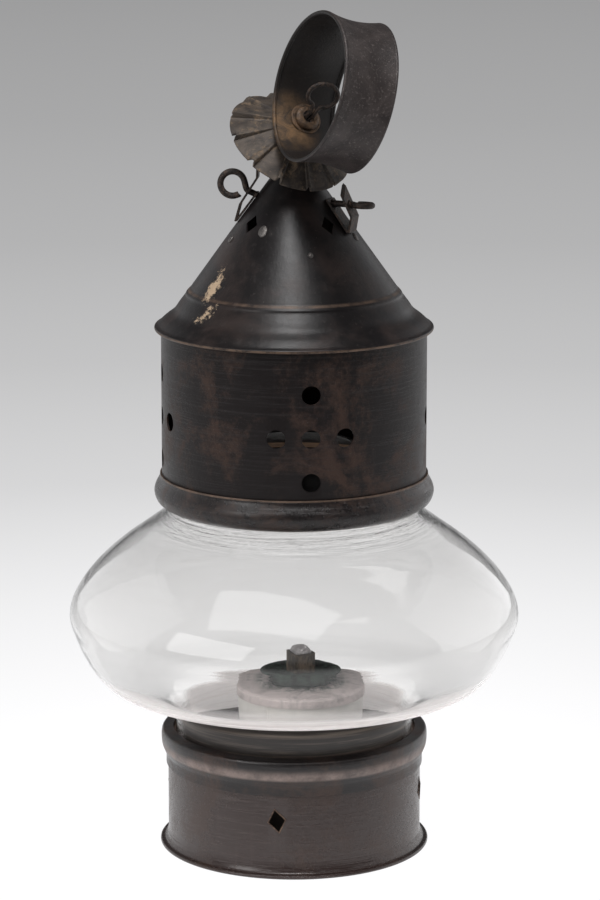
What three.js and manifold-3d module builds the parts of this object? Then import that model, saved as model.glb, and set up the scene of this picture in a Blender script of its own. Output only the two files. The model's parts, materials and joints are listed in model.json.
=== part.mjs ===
// Onion lantern: a sheet-iron hand lantern with a squat blown globe, a pierced drum, a cone roof
// under a pleated smoke hood, a strap ring handle, and an oil lamp that drops out of its base.
// Millimetres, +Z up, front towards -Y. The origin is the middle of the foot's lower edge.
import * as THREE from "three";
import { mergeVertices } from "three/addons/utils/BufferGeometryUtils.js";
import Module from "manifold-3d";

const wasm = await Module();
wasm.setup();

// Sheet and fits
const sheet = 0.7; // wall of the sheet-iron pieces
const solderGap = 0.1; // between lapped sheets
const seatGap = 0.3; // between pieces that bear on each other
const overrun = 3; // how far a cutter passes what it cuts
const mergeWithin = 1e-4;

// Facets round a turned piece
const wideFacets = 36;
const lampFacets = 28;
const smallFacets = 20;
const holeFacets = 12;
const wireSides = 6;
const flareSteps = 3;
const domeSteps = 4;
const loopSteps = 8;
const eyeSteps = 38;
const pinSteps = 58;

// Base drum and its foot
const baseRadius = 54.2;
const baseHeight = 43.8; // foot to the top of the shelf that carries the glass
const baseShelf = 5.6; // how far that shelf reaches inwards
const footSpread = 3.5; // foot beyond the wall
const footRadius = baseRadius + footSpread;
const footRise = 6.6; // height over which the wall flares out
const footHem = 1.5; // height of the folded edge
const footFlat = 1.7; // width of the face that stands on the table
const footCorner = 0.4;

// Diamond vents of the base
const diamondWidth = 7;
const diamondHeight = 9.6;
const diamondCount = 4;
const diamondTurn = -7.6; // degrees from the front, to the right
const diamondTilt = 11;
const diamondZ = 24.6;

// Lower collar, with its bead
const lowerCollarHeight = 15.4;
const lowerLipRise = 7.2; // lip above the shelf
const lowerBead = 1.7; // bead beyond the collar's plain edge

// Globe
const globeRadius = 95.8;
const glassWall = 2.2;
const glassHeight = 110.2;
const lowerNeckInset = 3.8; // glass neck inside the base drum's outer face
const upperNeckInset = 5.6; // glass neck inside the pierced drum's outer face
const bedding = 1.2; // plaster between the glass and its shelves
const beddingShare = 0.62; // of the way from a shelf to its lip

// Upper drum, collar and their holes
const drumRadius = 56;
const drumHeight = 69.2; // shelf to the top edge
const drumShelf = 7;
const upperCollarHeight = 13.8;
const upperLipDrop = 7.6; // lip below the shelf
const upperBead = 2.4;
const airHoleDiameter = 7.8;
const airHoleRise = 18.3; // between the rows of a cross
const airHoleArc = 14.8; // degrees between the columns of a cross
const crossCount = 3; // front and both sides; the back is plain
const crossStep = 90;
const crossTurn = 7.3; // middle cross, in degrees from the front to the right
const crossRise = 31.8; // middle row above the drum's shelf

// Draught cone inside the drum
const draughtRadius = 25; // of its opening
const draughtSeat = 7.2; // its edge above the drum's shelf
const draughtRise = 11.4;
const draughtLip = 2.5;

// Cone roof
const flangeLap = 2.8; // flange beyond the drum
const flangeRadius = drumRadius + flangeLap;
const flangeHem = 1.5;
const flareInset = 5.2; // flare's top inside the drum's outer face
const flareFootRadius = drumRadius - flareInset;
const flareRise = 6;
const roofBeadInset = 12.8;
const roofBeadRadius = drumRadius - roofBeadInset;
const roofBeadProud = 0.9;
const roofBeadShares = [[2.6, -2], [1.9, 0], [-0.4, 1.8]]; // of its height, outwards and upwards
const roofBeadRise = 14.6; // bead above the drum's top edge
const waistRadius = 25.9;
const waistRise = 40.7;
const neckRadius = 8.8;
const neckRise = 64;
const roofVent = 7; // width and height of the diamond vents
const roofVentCount = 4;
const roofVentTurn = -51;
const roofVentRise = 45;

// Pleated smoke hood
const hoodRadius = 27.5;
const hoodRise = 12;
const hoodTilt = 41; // degrees, as bent over on the original
const hoodLean = 38; // degrees from the front, to the right
const hoodApexX = 3.1;
const hoodApexY = -8.6;
const hoodApexAboveNeck = 22.6;
const hoodTurn = 23;
const pleatCount = 12;
const pleatDepth = 1.5;
const rimDrawShare = 0.028; // of the rim's radius, drawn in by a full pleat
const hoodCrown = 1.6; // height of the raised middle that the handle sits on

// Straps that carry the hood, each a tin strip folded back on the cone
const strapWidth = 7;
const strapSheet = 0.9;
const strapFootGap = 0.15;
const strapTop = 40; // length left above the bend, before the hood trims it
const straps = {
  left: { turn: -95, foldRise: 45.2, kneeRise: 51.6, kneeOff: 4.4, bendRise: 62.6, bendRadius: 15.2,
    topRadius: 13.6, pinRise: 56.6, pinSlope: 24, eyeTurn: 4, footReach: 13.5, loop: 5.1 },
  right: { turn: 65, foldRise: 42.2, kneeRise: 48, kneeOff: 7.2, bendRise: 60.5, bendRadius: 21.5,
    topRadius: 15, pinRise: 52.8, pinSlope: 0, eyeTurn: 86, footReach: 15.5, loop: 3.6 },
};

// Wire eyes through the straps
const eyeWire = 2.7;
const eyeClear = 0.35; // between the loop and the strap
const eyeThroatShare = 1.27; // loop's middle to where the wire leaves the shank, in loop radii
const eyeEndShare = 1.3; // of the wire, left between the loop's end and the shank
const throatShare = 0.1; // of the wire, by which the throat rises
const eyeTail = 3.4;
const eyeTailGap = 0.9; // between the tail and the cone as the eye turns

// Ring handle, its washer and its split pin
const ringRadius = 31.4;
const ringWidth = 26.4;
const ringTaperShare = 0.1; // of the width, lost on the side that hangs forward and gained behind
const ringNarrowAt = 55; // degrees round the ring from its X to its narrowest place
const ringSheet = 0.9;
const ringDish = 1.5; // how far the band is drawn in between its hems
const ringHem = 1.7;
const ringTilt = 61;
const ringLean = 31;
const ringTurn = -74.5;
const ringLift = 2.2; // band above the hood's crown, on which it rests aslant
const pinWire = 1.8;
const pinLoop = 6.2;
const pinStem = 12.5; // washer to the middle of the loop
const pinBend = 25; // degrees by which the loop is bent over
const pinBendTurn = 6;
const pinLeg = 7;
const pinSplay = 48;
const pinOpenShare = 1.7; // of the angle between the legs, left open in the loop
const pinSpreadShare = 0.125; // of the wire, where the legs start to splay
const pinHole = 5.2;
const washerRadius = 6.7;
const washerRise = 3.4;
const washerFlange = 1.2;
const washerSkirt = 0.75; // fitted down over the band

// Lamp: pan, catches, font, burner and wick
const panGap = 0.5; // between the pan and the base drum
const panLift = 2;
const panRim = 9;
const catchWidth = 9;
const catchRise = 8; // above the pan's rim
const catchBowShares = [0.5, 0.65]; // of that rise, where the strip bears on the drum
const lampAside = 2.8; // font to the right of the pan's middle
const fontRadius = 27.5;
const fontHeight = 66;
const fontLid = 3.7; // depth of the lid's rim
const fontConeRise = 1.6;
const collarRadius = 13.4;
const collarHeight = 1.4;
const burnerRadius = 17.4;
const burnerRim = 2.2;
// Its section, in shares of the rim: outwards from the burner's edge, and up
const burnerRimShares = [[-1, 0], [-0.25, 0], [0, 0.33], [0, 0.8], [-0.5, 1.2], [-1, 0.9]];
const burnerSlopeShare = 1.5; // of the rim, where the floor starts to rise to it
const plugDepth = 7;
const tubeSide = 9.4;
const tubeWall = 0.7;
const tubeTop = 10.2; // above the burner's floor
const tubeBelow = 18;
const tubeTurn = 24;
const wickShow = 3.6;
const wickBelow = 22;
const runningGap = 0.35;

// Levels up the lantern
const glassZ = baseHeight + bedding;
const drumZ = glassZ + glassHeight + bedding;
const drumTopZ = drumZ + drumHeight;
const roofZ = drumTopZ + seatGap;
const neckZ = drumTopZ + neckRise;
const coneSlope = (waistRadius - neckRadius) / (neckRise - waistRise);

const deg = Math.PI / 180;
const Z = new THREE.Vector3(0, 0, 1);

// A closed geometry as a solid, with its faces turned outwards.
function solid(geometry) {
  const bare = geometry.clone();
  bare.deleteAttribute("normal");
  bare.deleteAttribute("uv");
  const merged = mergeVertices(bare, mergeWithin);
  const triVerts = new Uint32Array(merged.index.array);
  const make = () =>
    new wasm.Manifold(
      new wasm.Mesh({ numProp: 3, vertProperties: merged.attributes.position.array, triVerts }),
    );
  const made = make();
  if (made.volume() > 0) return made;
  for (let i = 0; i < triVerts.length; i += 3) {
    [triVerts[i + 1], triVerts[i + 2]] = [triVerts[i + 2], triVerts[i + 1]];
  }
  return make();
}

function geometryOf(made) {
  const mesh = made.getMesh();
  const geometry = new THREE.BufferGeometry();
  geometry.setAttribute("position", new THREE.BufferAttribute(new Float32Array(mesh.vertProperties), 3));
  geometry.setIndex(new THREE.BufferAttribute(new Uint32Array(mesh.triVerts), 1));
  geometry.computeVertexNormals();
  return geometry;
}

// What is left of a piece when each cutter has been taken out of it.
function cut(geometry, ...cutters) {
  return geometryOf(cutters.reduce((left, cutter) => left.subtract(solid(cutter)), solid(geometry)));
}

// A closed outline of radius and height, turned about Z.
function turned(outline, facets = wideFacets) {
  const points = outline.map(([r, z]) => new THREE.Vector2(r, z));
  const ends = points[0].distanceTo(points.at(-1)) > 0 && points[0].x > 0;
  if (ends) points.push(points[0].clone());
  return geometryOf(solid(new THREE.LatheGeometry(points, facets).rotateX(Math.PI / 2)));
}

// The outline of a strip: a line and its copy at one thickness to its left.
function strip(line, thickness) {
  const side = line.map(([x, y], i) => {
    const [px, py] = line[Math.max(i - 1, 0)];
    const [nx, ny] = line[Math.min(i + 1, line.length - 1)];
    const before = new THREE.Vector2(x - px, y - py).normalize();
    const after = new THREE.Vector2(nx - x, ny - y).normalize();
    const along = before.clone().add(after).normalize();
    const edge = before.lengthSq() > 0 ? before : after;
    const stretch = thickness / along.dot(edge);
    return [x - along.y * stretch, y + along.x * stretch];
  });
  return [...line, ...side.reverse()];
}

// A line from one point to another that bends towards a third.
function bend(from, towards, to, steps) {
  const path = new THREE.QuadraticBezierCurve(...[from, towards, to].map((p) => new THREE.Vector2(...p)));
  return path.getPoints(steps).map((p) => [p.x, p.y]);
}

// An outline in X and Z, given a width along Y.
function plate(outline, width) {
  const shape = new THREE.Shape(outline.map(([x, z]) => new THREE.Vector2(x, z)));
  const made = new THREE.ExtrudeGeometry(shape, { depth: width, bevelEnabled: false, steps: 1 });
  return made.translate(0, 0, -width / 2).rotateX(Math.PI / 2);
}

// A round wire along a smooth path.
function wire(points, diameter, steps) {
  const section = new THREE.Shape(
    Array.from({ length: wireSides }, (_, i) => {
      const angle = (2 * Math.PI * i) / wireSides;
      return new THREE.Vector2(Math.cos(angle), Math.sin(angle)).multiplyScalar(diameter / 2);
    }),
  );
  const path = new THREE.CatmullRomCurve3(points);
  return new THREE.ExtrudeGeometry(section, { steps, bevelEnabled: false, extrudePath: path });
}

// A drill along X, from the start for a length.
function drill(diameter, start, length) {
  const made = new THREE.CylinderGeometry(diameter / 2, diameter / 2, length, holeFacets);
  return made.rotateZ(Math.PI / 2).translate(start + length / 2, 0, 0);
}

// The direction tipped from +Z by a tilt, towards a lean counted from the front to the right.
function tipped(tilt, lean) {
  const out = Math.sin(tilt * deg);
  return new THREE.Vector3(out * Math.sin(lean * deg), -out * Math.cos(lean * deg), Math.cos(tilt * deg));
}

const bearing = (turn) => (turn - 90) * deg; // rotation about Z that brings +X to a turn from the front
const ironMat = (color) => ({ color, roughness: 0.55, metalness: 0.6 });
const finish = {
  baseIron: ironMat(0x44393a),
  drumIron: ironMat(0x33292a),
  roofIron: ironMat(0x2b292c),
  hoodIron: ironMat(0x51473f),
  ringIron: ironMat(0x3b3637),
  glass: { color: 0xf2f5f5, roughness: 0.05, metalness: 0, transparent: true, opacity: 0.3 },
  plaster: { color: 0xa9a399, roughness: 0.95, metalness: 0 },
  tin: { color: 0x9c9893, roughness: 0.5, metalness: 0.7 },
  brass: { color: 0x4c5246, roughness: 0.7, metalness: 0.6 },
  cotton: { color: 0xb9aea2, roughness: 1, metalness: 0 },
  wire: ironMat(0x463a35),
};

function piece(name, geometry, look) {
  const mesh = new THREE.Mesh(geometry, new THREE.MeshStandardMaterial(look));
  mesh.name = name;
  return mesh;
}

// A diamond punch standing across a wall of the given radius and slope, pointing along X.
function diamondPunch(width, height, radius, slope = 0) {
  const depth = 2 * overrun + height * slope;
  const shape = new THREE.Shape([
    new THREE.Vector2(0, -height / 2),
    new THREE.Vector2(width / 2, 0),
    new THREE.Vector2(0, height / 2),
    new THREE.Vector2(-width / 2, 0),
  ]);
  const made = new THREE.ExtrudeGeometry(shape, { depth, bevelEnabled: false });
  return made.rotateX(Math.PI / 2).rotateZ(Math.PI / 2).translate(radius - depth / 2, 0, 0);
}

// Base: flared foot, straight wall and an inward shelf, with diamond vents.
function baseShell() {
  const inside = baseRadius - sheet;
  const hemTop = [footRadius - footCorner, footHem + footCorner];
  const outline = [
    [footRadius - footFlat, 0],
    [footRadius - footCorner, 0],
    [footRadius, footCorner],
    [footRadius, footHem],
    ...bend(hemTop, [baseRadius, footHem + footFlat], [baseRadius, footRise], flareSteps),
    [baseRadius, baseHeight],
    [baseRadius - baseShelf, baseHeight],
    [baseRadius - baseShelf, baseHeight - sheet],
    [inside, baseHeight - sheet],
    [inside, footRise],
    [inside + footCorner, footRise - footFlat],
  ];
  const punches = Array.from({ length: diamondCount }, (_, i) =>
    diamondPunch(diamondWidth, diamondHeight, baseRadius)
      .rotateX(diamondTilt * deg)
      .rotateZ(bearing(diamondTurn + (360 * i) / diamondCount))
      .translate(0, 0, diamondZ),
  );
  return cut(turned(outline), ...punches);
}

// Shares of the bead's reach and of the collar's height, from the plain edge to the lip.
const lowerCollarShares = [[0, 0], [0.1, 0.16], [0.78, 0.48], [1, 0.72], [0.76, 0.9], [0.1, 1]];
const upperCollarShares = [
  [0, 0], [0.14, 0.14], [0.88, 0.4], [1, 0.6], [0.5, 0.82], [-0.5, 0.95], [-1.4, 1],
];

function collar(edgeRadius, bead, edgeZ, height, shares) {
  const line = shares.map(([r, h]) => [edgeRadius + bead * r, edgeZ + height * h]);
  return turned(strip(line, height > 0 ? sheet : -sheet));
}

const lowerLipZ = baseHeight + lowerLipRise;
const upperLipZ = drumZ - upperLipDrop;

function lowerCollar() {
  const edge = baseRadius + solderGap + sheet;
  return collar(edge, lowerBead, lowerLipZ - lowerCollarHeight, lowerCollarHeight, lowerCollarShares);
}

function upperCollar() {
  const edge = drumRadius + solderGap + sheet;
  return collar(edge, upperBead, upperLipZ + upperCollarHeight, -upperCollarHeight, upperCollarShares);
}

// Globe: shares of its swell beyond a neck and of its height, up to the belly and from there on.
const lowerGlobeShares = [
  [0, 0], [0.004, 0.032], [0.049, 0.06], [0.177, 0.091], [0.344, 0.136], [0.597, 0.227],
  [0.789, 0.318], [0.928, 0.408], [1, 0.504],
];
const upperGlobeShares = [
  [0.951, 0.59], [0.81, 0.681], [0.591, 0.771], [0.289, 0.862], [0.11, 0.913], [0.021, 0.948], [0, 1],
];
const lowerNeck = baseRadius - lowerNeckInset;
const upperNeck = drumRadius - upperNeckInset;

const swell = (neck, shares) =>
  shares.map(([r, h]) => [neck + (globeRadius - neck) * r, glassZ + glassHeight * h]);
const globeLine = [...swell(lowerNeck, lowerGlobeShares), ...swell(upperNeck, upperGlobeShares)];

function globe() {
  return turned(strip(globeLine, glassWall));
}

// Plaster that beds a neck of the globe on its shelf and against its collar.
function beddingRing(shelfZ, wall, shelfReach, lipZ, way, neck) {
  const inner = wall - shelfReach;
  const glassFace = neck + solderGap;
  const outer = wall - solderGap;
  const fill = (lipZ - shelfZ) * beddingShare;
  return turned([
    [inner, shelfZ + way * solderGap],
    [outer, shelfZ + way * solderGap],
    [outer, shelfZ + fill],
    [(outer + glassFace) / 2, shelfZ + fill],
    [glassFace, shelfZ + fill * beddingShare],
    [glassFace, shelfZ + way * (bedding - solderGap)],
    [inner, shelfZ + way * (bedding - solderGap)],
  ]);
}

const lowerBedding = () => beddingRing(baseHeight, baseRadius, baseShelf, lowerLipZ, 1, globeLine[1][0]);
const upperBedding = () => beddingRing(drumZ, drumRadius, drumShelf, upperLipZ, -1, globeLine.at(-2)[0]);

// Underside of the roof's flange, over the drum's wall.
function flangeUnder(radius) {
  const edge = flangeRadius - footCorner;
  const slope = (flareRise - sheet) / (edge - flareFootRadius);
  return roofZ + sheet + slope * (edge - radius) - sheet * Math.hypot(1, slope);
}

// Pierced drum: an inward shelf over the glass, a straight wall and crosses of five air holes.
function upperDrum() {
  const inside = drumRadius - sheet;
  const top = flangeUnder(drumRadius) - seatGap;
  const outline = [
    [drumRadius - drumShelf, drumZ],
    [drumRadius, drumZ],
    [drumRadius, top],
    [inside, top],
    [inside, drumZ + sheet],
    [drumRadius - drumShelf, drumZ + sheet],
  ];
  const cross = [[0, 0], [-1, 0], [1, 0], [0, -1], [0, 1]];
  const first = crossTurn - (crossStep * (crossCount - 1)) / 2;
  const turns = Array.from({ length: crossCount }, (_, i) => first + crossStep * i);
  const holes = turns.flatMap((turn) =>
    cross.map(([column, row]) =>
      drill(airHoleDiameter, drumRadius - overrun, 2 * overrun)
        .rotateZ(bearing(turn + column * airHoleArc))
        .translate(0, 0, drumZ + crossRise + row * airHoleRise),
    ),
  );
  return cut(turned(outline), ...holes);
}

// Draught cone over the glass: a lip soldered in the drum, and a low cone up to a round opening.
function draughtCone() {
  const wall = drumRadius - sheet - solderGap;
  const edgeZ = drumZ + draughtSeat;
  const line = [[wall, edgeZ - draughtLip], [wall, edgeZ], [draughtRadius, edgeZ + draughtRise]];
  return turned(strip(line, sheet));
}

const coneRadiusAt = (z) => waistRadius - coneSlope * (z - drumTopZ - waistRise);

// Cone roof: hemmed flange, hollow flare, raised bead and a straight cone with an open neck.
function coneRoof() {
  const beadZ = drumTopZ + roofBeadRise;
  const line = [
    [flangeRadius, roofZ - flangeHem],
    [flangeRadius, roofZ],
    [flangeRadius - footCorner, roofZ + sheet],
    [flareFootRadius, roofZ + flareRise],
    ...roofBeadShares.map(([r, h]) => [roofBeadRadius + roofBeadProud * r, beadZ + roofBeadProud * h]),
    [waistRadius, drumTopZ + waistRise],
    [neckRadius, neckZ],
  ];
  const ventZ = drumTopZ + roofVentRise;
  const vents = Array.from({ length: roofVentCount }, (_, i) =>
    diamondPunch(roofVent, roofVent, coneRadiusAt(ventZ), coneSlope)
      .rotateZ(bearing(roofVentTurn + (360 * i) / roofVentCount))
      .translate(0, 0, ventZ),
  );
  const drills = Object.values(straps).map((strap) => pinDrill(strap).rotateZ(bearing(strap.turn)));
  return cut(turned(strip(line, sheet)), ...vents, ...drills);
}

// Where a strap's pin crosses the strap, and how far along the pin the cone lies.
function pinPlace(strap) {
  const kneeZ = drumTopZ + strap.kneeRise;
  const bendZ = drumTopZ + strap.bendRise;
  const kneeRadius = coneRadiusAt(kneeZ) + strap.kneeOff;
  const z = drumTopZ + strap.pinRise;
  const r = kneeRadius + ((strap.bendRadius - kneeRadius) * (z - kneeZ)) / (bendZ - kneeZ);
  const slope = strap.pinSlope * deg;
  const toCone = (r - coneRadiusAt(z)) / (Math.cos(slope) + coneSlope * Math.sin(slope));
  const askew = Math.atan2(kneeRadius - strap.bendRadius, bendZ - kneeZ) - slope;
  return { r, z, slope, toCone, askew, kneeRadius, kneeZ, bendZ };
}

// The hole for a strap's pin, through the strap, its foot and the cone.
function pinDrill(strap) {
  const { r, z, slope, toCone } = pinPlace(strap);
  const length = toCone + 4 * overrun;
  return drill(eyeWire + 2 * runningGap, 2 * overrun - length, length).rotateY(-slope).translate(r, 0, z);
}

// Hood surface: height below the apex at a radius and an angle; the pleats deepen outwards.
const pleatShares = [[0, 0], [0.07, 1], [0.15, 1], [0.22, -0.55], [0.6, -0.2]]; // of a pitch, of the depth
const hoodRingShares = [0.11, 0.19, 0.24, 0.6, 1]; // of the hood's radius

function hoodHeight(share, lift) {
  if (share <= hoodRingShares[1]) return 0;
  const out = (share - hoodRingShares[1]) / (1 - hoodRingShares[1]);
  return -hoodCrown - (hoodRise - hoodCrown) * out + pleatDepth * lift * out;
}

// Smoke hood: a shallow cone pinched into narrow pleats, stepped at the rim.
function smokeHood() {
  const rings = hoodRingShares.length;
  const around = pleatCount * pleatShares.length;
  const positions = [];
  for (const drop of [0, sheet]) {
    for (const share of hoodRingShares) {
      for (let i = 0; i < around; i += 1) {
        const [part, lift] = pleatShares[i % pleatShares.length];
        const angle = (2 * Math.PI * (Math.floor(i / pleatShares.length) + part)) / pleatCount;
        const rim = share === 1 ? 1 - Math.abs(lift) * rimDrawShare : 1;
        const radius = hoodRadius * share * rim;
        positions.push(radius * Math.cos(angle), radius * Math.sin(angle), hoodHeight(share, lift) - drop);
      }
    }
  }
  const at = (side, ring, i) => (side * rings + ring) * around + (i % around);
  const quads = [];
  for (let i = 0; i < around; i += 1) {
    for (let ring = 0; ring + 1 < rings; ring += 1) {
      quads.push([at(0, ring, i), at(0, ring + 1, i), at(0, ring + 1, i + 1), at(0, ring, i + 1)]);
      quads.push([at(1, ring, i + 1), at(1, ring + 1, i + 1), at(1, ring + 1, i), at(1, ring, i)]);
    }
    const rim = rings - 1;
    quads.push([at(0, rim, i), at(1, rim, i), at(1, rim, i + 1), at(0, rim, i + 1)]);
    quads.push([at(1, 0, i), at(0, 0, i), at(0, 0, i + 1), at(1, 0, i + 1)]);
  }
  const geometry = new THREE.BufferGeometry();
  geometry.setAttribute("position", new THREE.Float32BufferAttribute(positions, 3));
  geometry.setIndex(quads.flatMap(([a, b, c, d]) => [a, b, c, a, c, d]));
  return geometryOf(solid(geometry));
}

const hoodApex = new THREE.Vector3(hoodApexX, hoodApexY, neckZ + hoodApexAboveNeck);
const hoodAxis = tipped(hoodTilt, hoodLean);
const ringAxis = tipped(ringTilt, ringLean);
const hoodPose = new THREE.Quaternion().setFromUnitVectors(Z, hoodAxis);
const ringPose = new THREE.Quaternion().setFromUnitVectors(Z, ringAxis);

// All that lies under the hood's skin or above it, as a blank that trims the straps.
function hoodBlank() {
  const under = (share) => hoodHeight(share, pleatShares[3][1]) - sheet - seatGap;
  const outline = [
    [0, under(0)],
    [hoodRadius * hoodRingShares[1], under(0)],
    [hoodRadius * hoodRingShares[2], under(hoodRingShares[2])],
    [hoodRadius, under(1)],
    [2 * hoodRadius, under(1)],
    [2 * hoodRadius, 2 * hoodRadius],
    [0, 2 * hoodRadius],
  ];
  const made = turned(outline, smallFacets);
  return made.applyQuaternion(hoodPose).translate(hoodApex.x, hoodApex.y, hoodApex.z);
}

// A strap in its own radius and height: up off the cone, out to a knee, in to a bend and up to the hood.
function strapStrip(strap) {
  const { kneeRadius, kneeZ, bendZ } = pinPlace(strap);
  const foldZ = drumTopZ + strap.foldRise;
  const lie = strapFootGap + strapSheet;
  const out = lie * Math.hypot(1, coneSlope);
  const up = strap.footReach / Math.hypot(1, coneSlope);
  const inner = strapFootGap * Math.hypot(1, coneSlope);
  const outer = [
    [coneRadiusAt(foldZ) + out + strapSheet, foldZ - strapSheet],
    [kneeRadius + strapSheet / 2, kneeZ],
    [strap.bendRadius + strapSheet / 2, bendZ],
    [strap.topRadius + strapSheet / 2, bendZ + strapTop],
  ];
  const stem = plate(strip(outer, strapSheet), strapWidth);
  const foot = plate(
    [
      [coneRadiusAt(foldZ - strapSheet) + inner, foldZ - strapSheet],
      [coneRadiusAt(foldZ) + out + strapSheet, foldZ - strapSheet],
      [coneRadiusAt(foldZ + strapSheet) + out, foldZ + strapSheet],
      [coneRadiusAt(foldZ + up) + out, foldZ + up],
      [coneRadiusAt(foldZ + up) + inner, foldZ + up],
    ],
    strapWidth,
  );
  const joined = geometryOf(solid(stem).add(solid(foot)));
  const roof = hoodBlank().rotateZ(-bearing(strap.turn));
  return cut(joined, roof, pinDrill(strap));
}

// Wire eye: a clinched tail inside the cone, a shank, and a loop that nearly closes on the shank.
function wireEye(strap) {
  const { toCone, slope, askew } = pinPlace(strap);
  const aslant = Math.abs(Math.atan(coneSlope) - slope);
  const swing = (eyeTail + eyeWire / 2) * Math.tan(aslant) + sheet / Math.cos(aslant);
  const tailAt = -(toCone + swing + eyeTailGap + eyeWire / 2);
  const standOff = (strap.loop + (eyeWire + strapSheet) / 2 + eyeClear) / Math.cos(askew);
  const reach = strap.loop * eyeThroatShare;
  const throat = standOff - reach;
  const open = Math.acos(strap.loop / reach);
  const half = Math.asin(strap.loop / reach);
  const loop = Array.from({ length: loopSteps + 1 }, (_, i) => {
    const angle = Math.PI - open - ((2 * Math.PI - 2 * open) * i) / loopSteps;
    return [standOff + strap.loop * Math.cos(angle), strap.loop * Math.sin(angle)];
  });
  const short = (eyeEndShare * eyeWire) / Math.sin(2 * half);
  const end = [throat + short * Math.cos(half), -short * Math.sin(half)];
  const line = [
    [tailAt, -eyeTail],
    [tailAt, -eyeTail / 2],
    [tailAt + eyeWire / 4, -eyeWire / 4],
    [tailAt + eyeWire, 0],
    [throat - eyeWire, 0],
    [throat, eyeWire * throatShare],
    ...loop,
    end,
  ];
  return wire(line.map(([s, t]) => new THREE.Vector3(s, 0, t)), eyeWire, eyeSteps);
}

// Ring handle: a strip drawn in between two hems and bent into a ring about Y. It narrows towards one
// side, and has a hole for its pin.
function ringHandle() {
  const half = ringWidth / 2;
  const edge = half - ringHem / 2;
  const waist = ringRadius - ringDish;
  const outline = [
    [ringRadius - ringHem, -half],
    [ringRadius - ringHem / 4, -half],
    [ringRadius, -edge],
    [ringRadius - ringHem / 2, ringHem - half],
    [waist + ringDish / 4, -half / 2],
    [waist, 0],
    [waist + ringDish / 4, half / 2],
    [ringRadius - ringHem / 2, half - ringHem],
    [ringRadius, edge],
    [ringRadius - ringHem / 4, half],
    [ringRadius - ringHem, half],
    [waist + ringDish / 4 - ringSheet, half / 2],
    [waist - ringSheet, 0],
    [waist + ringDish / 4 - ringSheet, -half / 2],
  ];
  const band = turned(outline, wideFacets).rotateX(-Math.PI / 2);
  const hole = drill(pinHole, -ringRadius - overrun, ringRadius).rotateY(-Math.PI / 2);
  const made = cut(band, hole);
  const narrow = new THREE.Vector3(Math.cos(ringNarrowAt * deg), 0, Math.sin(ringNarrowAt * deg));
  const at = made.attributes.position;
  for (let i = 0; i < at.count; i += 1) {
    const forward = new THREE.Vector3().fromBufferAttribute(at, i).dot(narrow) / ringRadius;
    at.setY(i, at.getY(i) * (1 - ringTaperShare * forward));
  }
  return made;
}

const ringCentre = ringLift + ringRadius - ringDish; // above the hood's crown, along the pin
const bandTop = ringLift + ringSheet;

// Domed washer inside the ring, its underside fitted to the band.
function handleWasher() {
  const low = bandTop + seatGap;
  const side = washerRadius - washerFlange;
  const top = low + washerRise;
  const dome = bend([side, low + washerFlange], [side, top], [pinHole / 2, top], domeSteps);
  const made = turned(
    [
      [pinHole / 2, low - washerSkirt],
      [washerRadius, low - washerSkirt],
      [washerRadius, low + washerFlange],
      ...dome,
    ],
    smallFacets,
  );
  const inside = ringRadius - ringDish - ringSheet - seatGap;
  const band = turned(
    [[inside, -ringWidth], [2 * ringRadius, -ringWidth], [2 * ringRadius, ringWidth], [inside, ringWidth]],
    wideFacets,
  ).rotateX(-Math.PI / 2);
  return cut(made, band.translate(0, 0, ringCentre));
}

// Split pin: two legs through the hood, the band and the washer, splayed below, and a bent eye above.
function handlePin() {
  const side = pinWire / 2 + solderGap;
  const over = bandTop + seatGap + washerRise + pinWire;
  const under = -(sheet + seatGap + pinWire);
  const splay = pinSplay * deg;
  const below = (way, reach) =>
    new THREE.Vector3(way * (side + reach * Math.sin(splay)), 0, under - reach * Math.cos(splay));
  const leg = (way) => [
    below(way, pinLeg),
    below(way, pinLeg / 2),
    new THREE.Vector3(way * (side + pinWire * pinSpreadShare), 0, under),
    new THREE.Vector3(way * side, 0, 0),
    new THREE.Vector3(way * side, 0, over),
  ];
  const lean = new THREE.Quaternion().setFromAxisAngle(new THREE.Vector3(1, 0, 0), -pinBend * deg);
  const middle = pinStem - pinWire;
  const open = Math.asin(side / pinLoop) * pinOpenShare;
  const loop = Array.from({ length: loopSteps + 1 }, (_, i) => {
    const angle = -Math.PI / 2 - open - ((2 * Math.PI - 2 * open) * i) / loopSteps;
    const point = new THREE.Vector3(pinLoop * Math.cos(angle), 0, middle + pinLoop * Math.sin(angle));
    return point.applyQuaternion(lean).add(new THREE.Vector3(0, 0, over));
  });
  return wire([...leg(-1), ...loop, ...leg(1).reverse()], pinWire, pinSteps);
}

// Hood, with a hole along the handle's pin.
function drilledHood() {
  const across = ringAxis.clone().applyQuaternion(hoodPose.clone().invert());
  const hole = drill(pinHole, -2 * overrun, 4 * overrun).rotateY(-Math.PI / 2);
  hole.applyQuaternion(new THREE.Quaternion().setFromUnitVectors(Z, across));
  return cut(smokeHood().rotateZ(hoodTurn * deg), hole);
}

const panRadius = baseRadius - sheet - panGap;
const panTop = panLift + sheet;
const lidZ = panTop + solderGap + fontHeight;
const coneTopZ = lidZ + sheet + fontConeRise;
const burnerZ = coneTopZ + collarHeight + seatGap;

// Pan that closes the base and carries the font.
function bottomPan() {
  return turned([
    [0, panLift],
    [panRadius - sheet, panLift],
    [panRadius, panLift + sheet],
    [panRadius, panLift + panRim],
    [panRadius - sheet, panLift + panRim],
    [panRadius - sheet, panTop],
    [0, panTop],
  ]);
}

// How far from the axis a flat strip can stand inside a turned wall.
function flatInside(radius, width) {
  const flat = radius * Math.cos(Math.PI / wideFacets);
  return Math.sqrt(flat * flat - (width * width) / 4);
}

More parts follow.
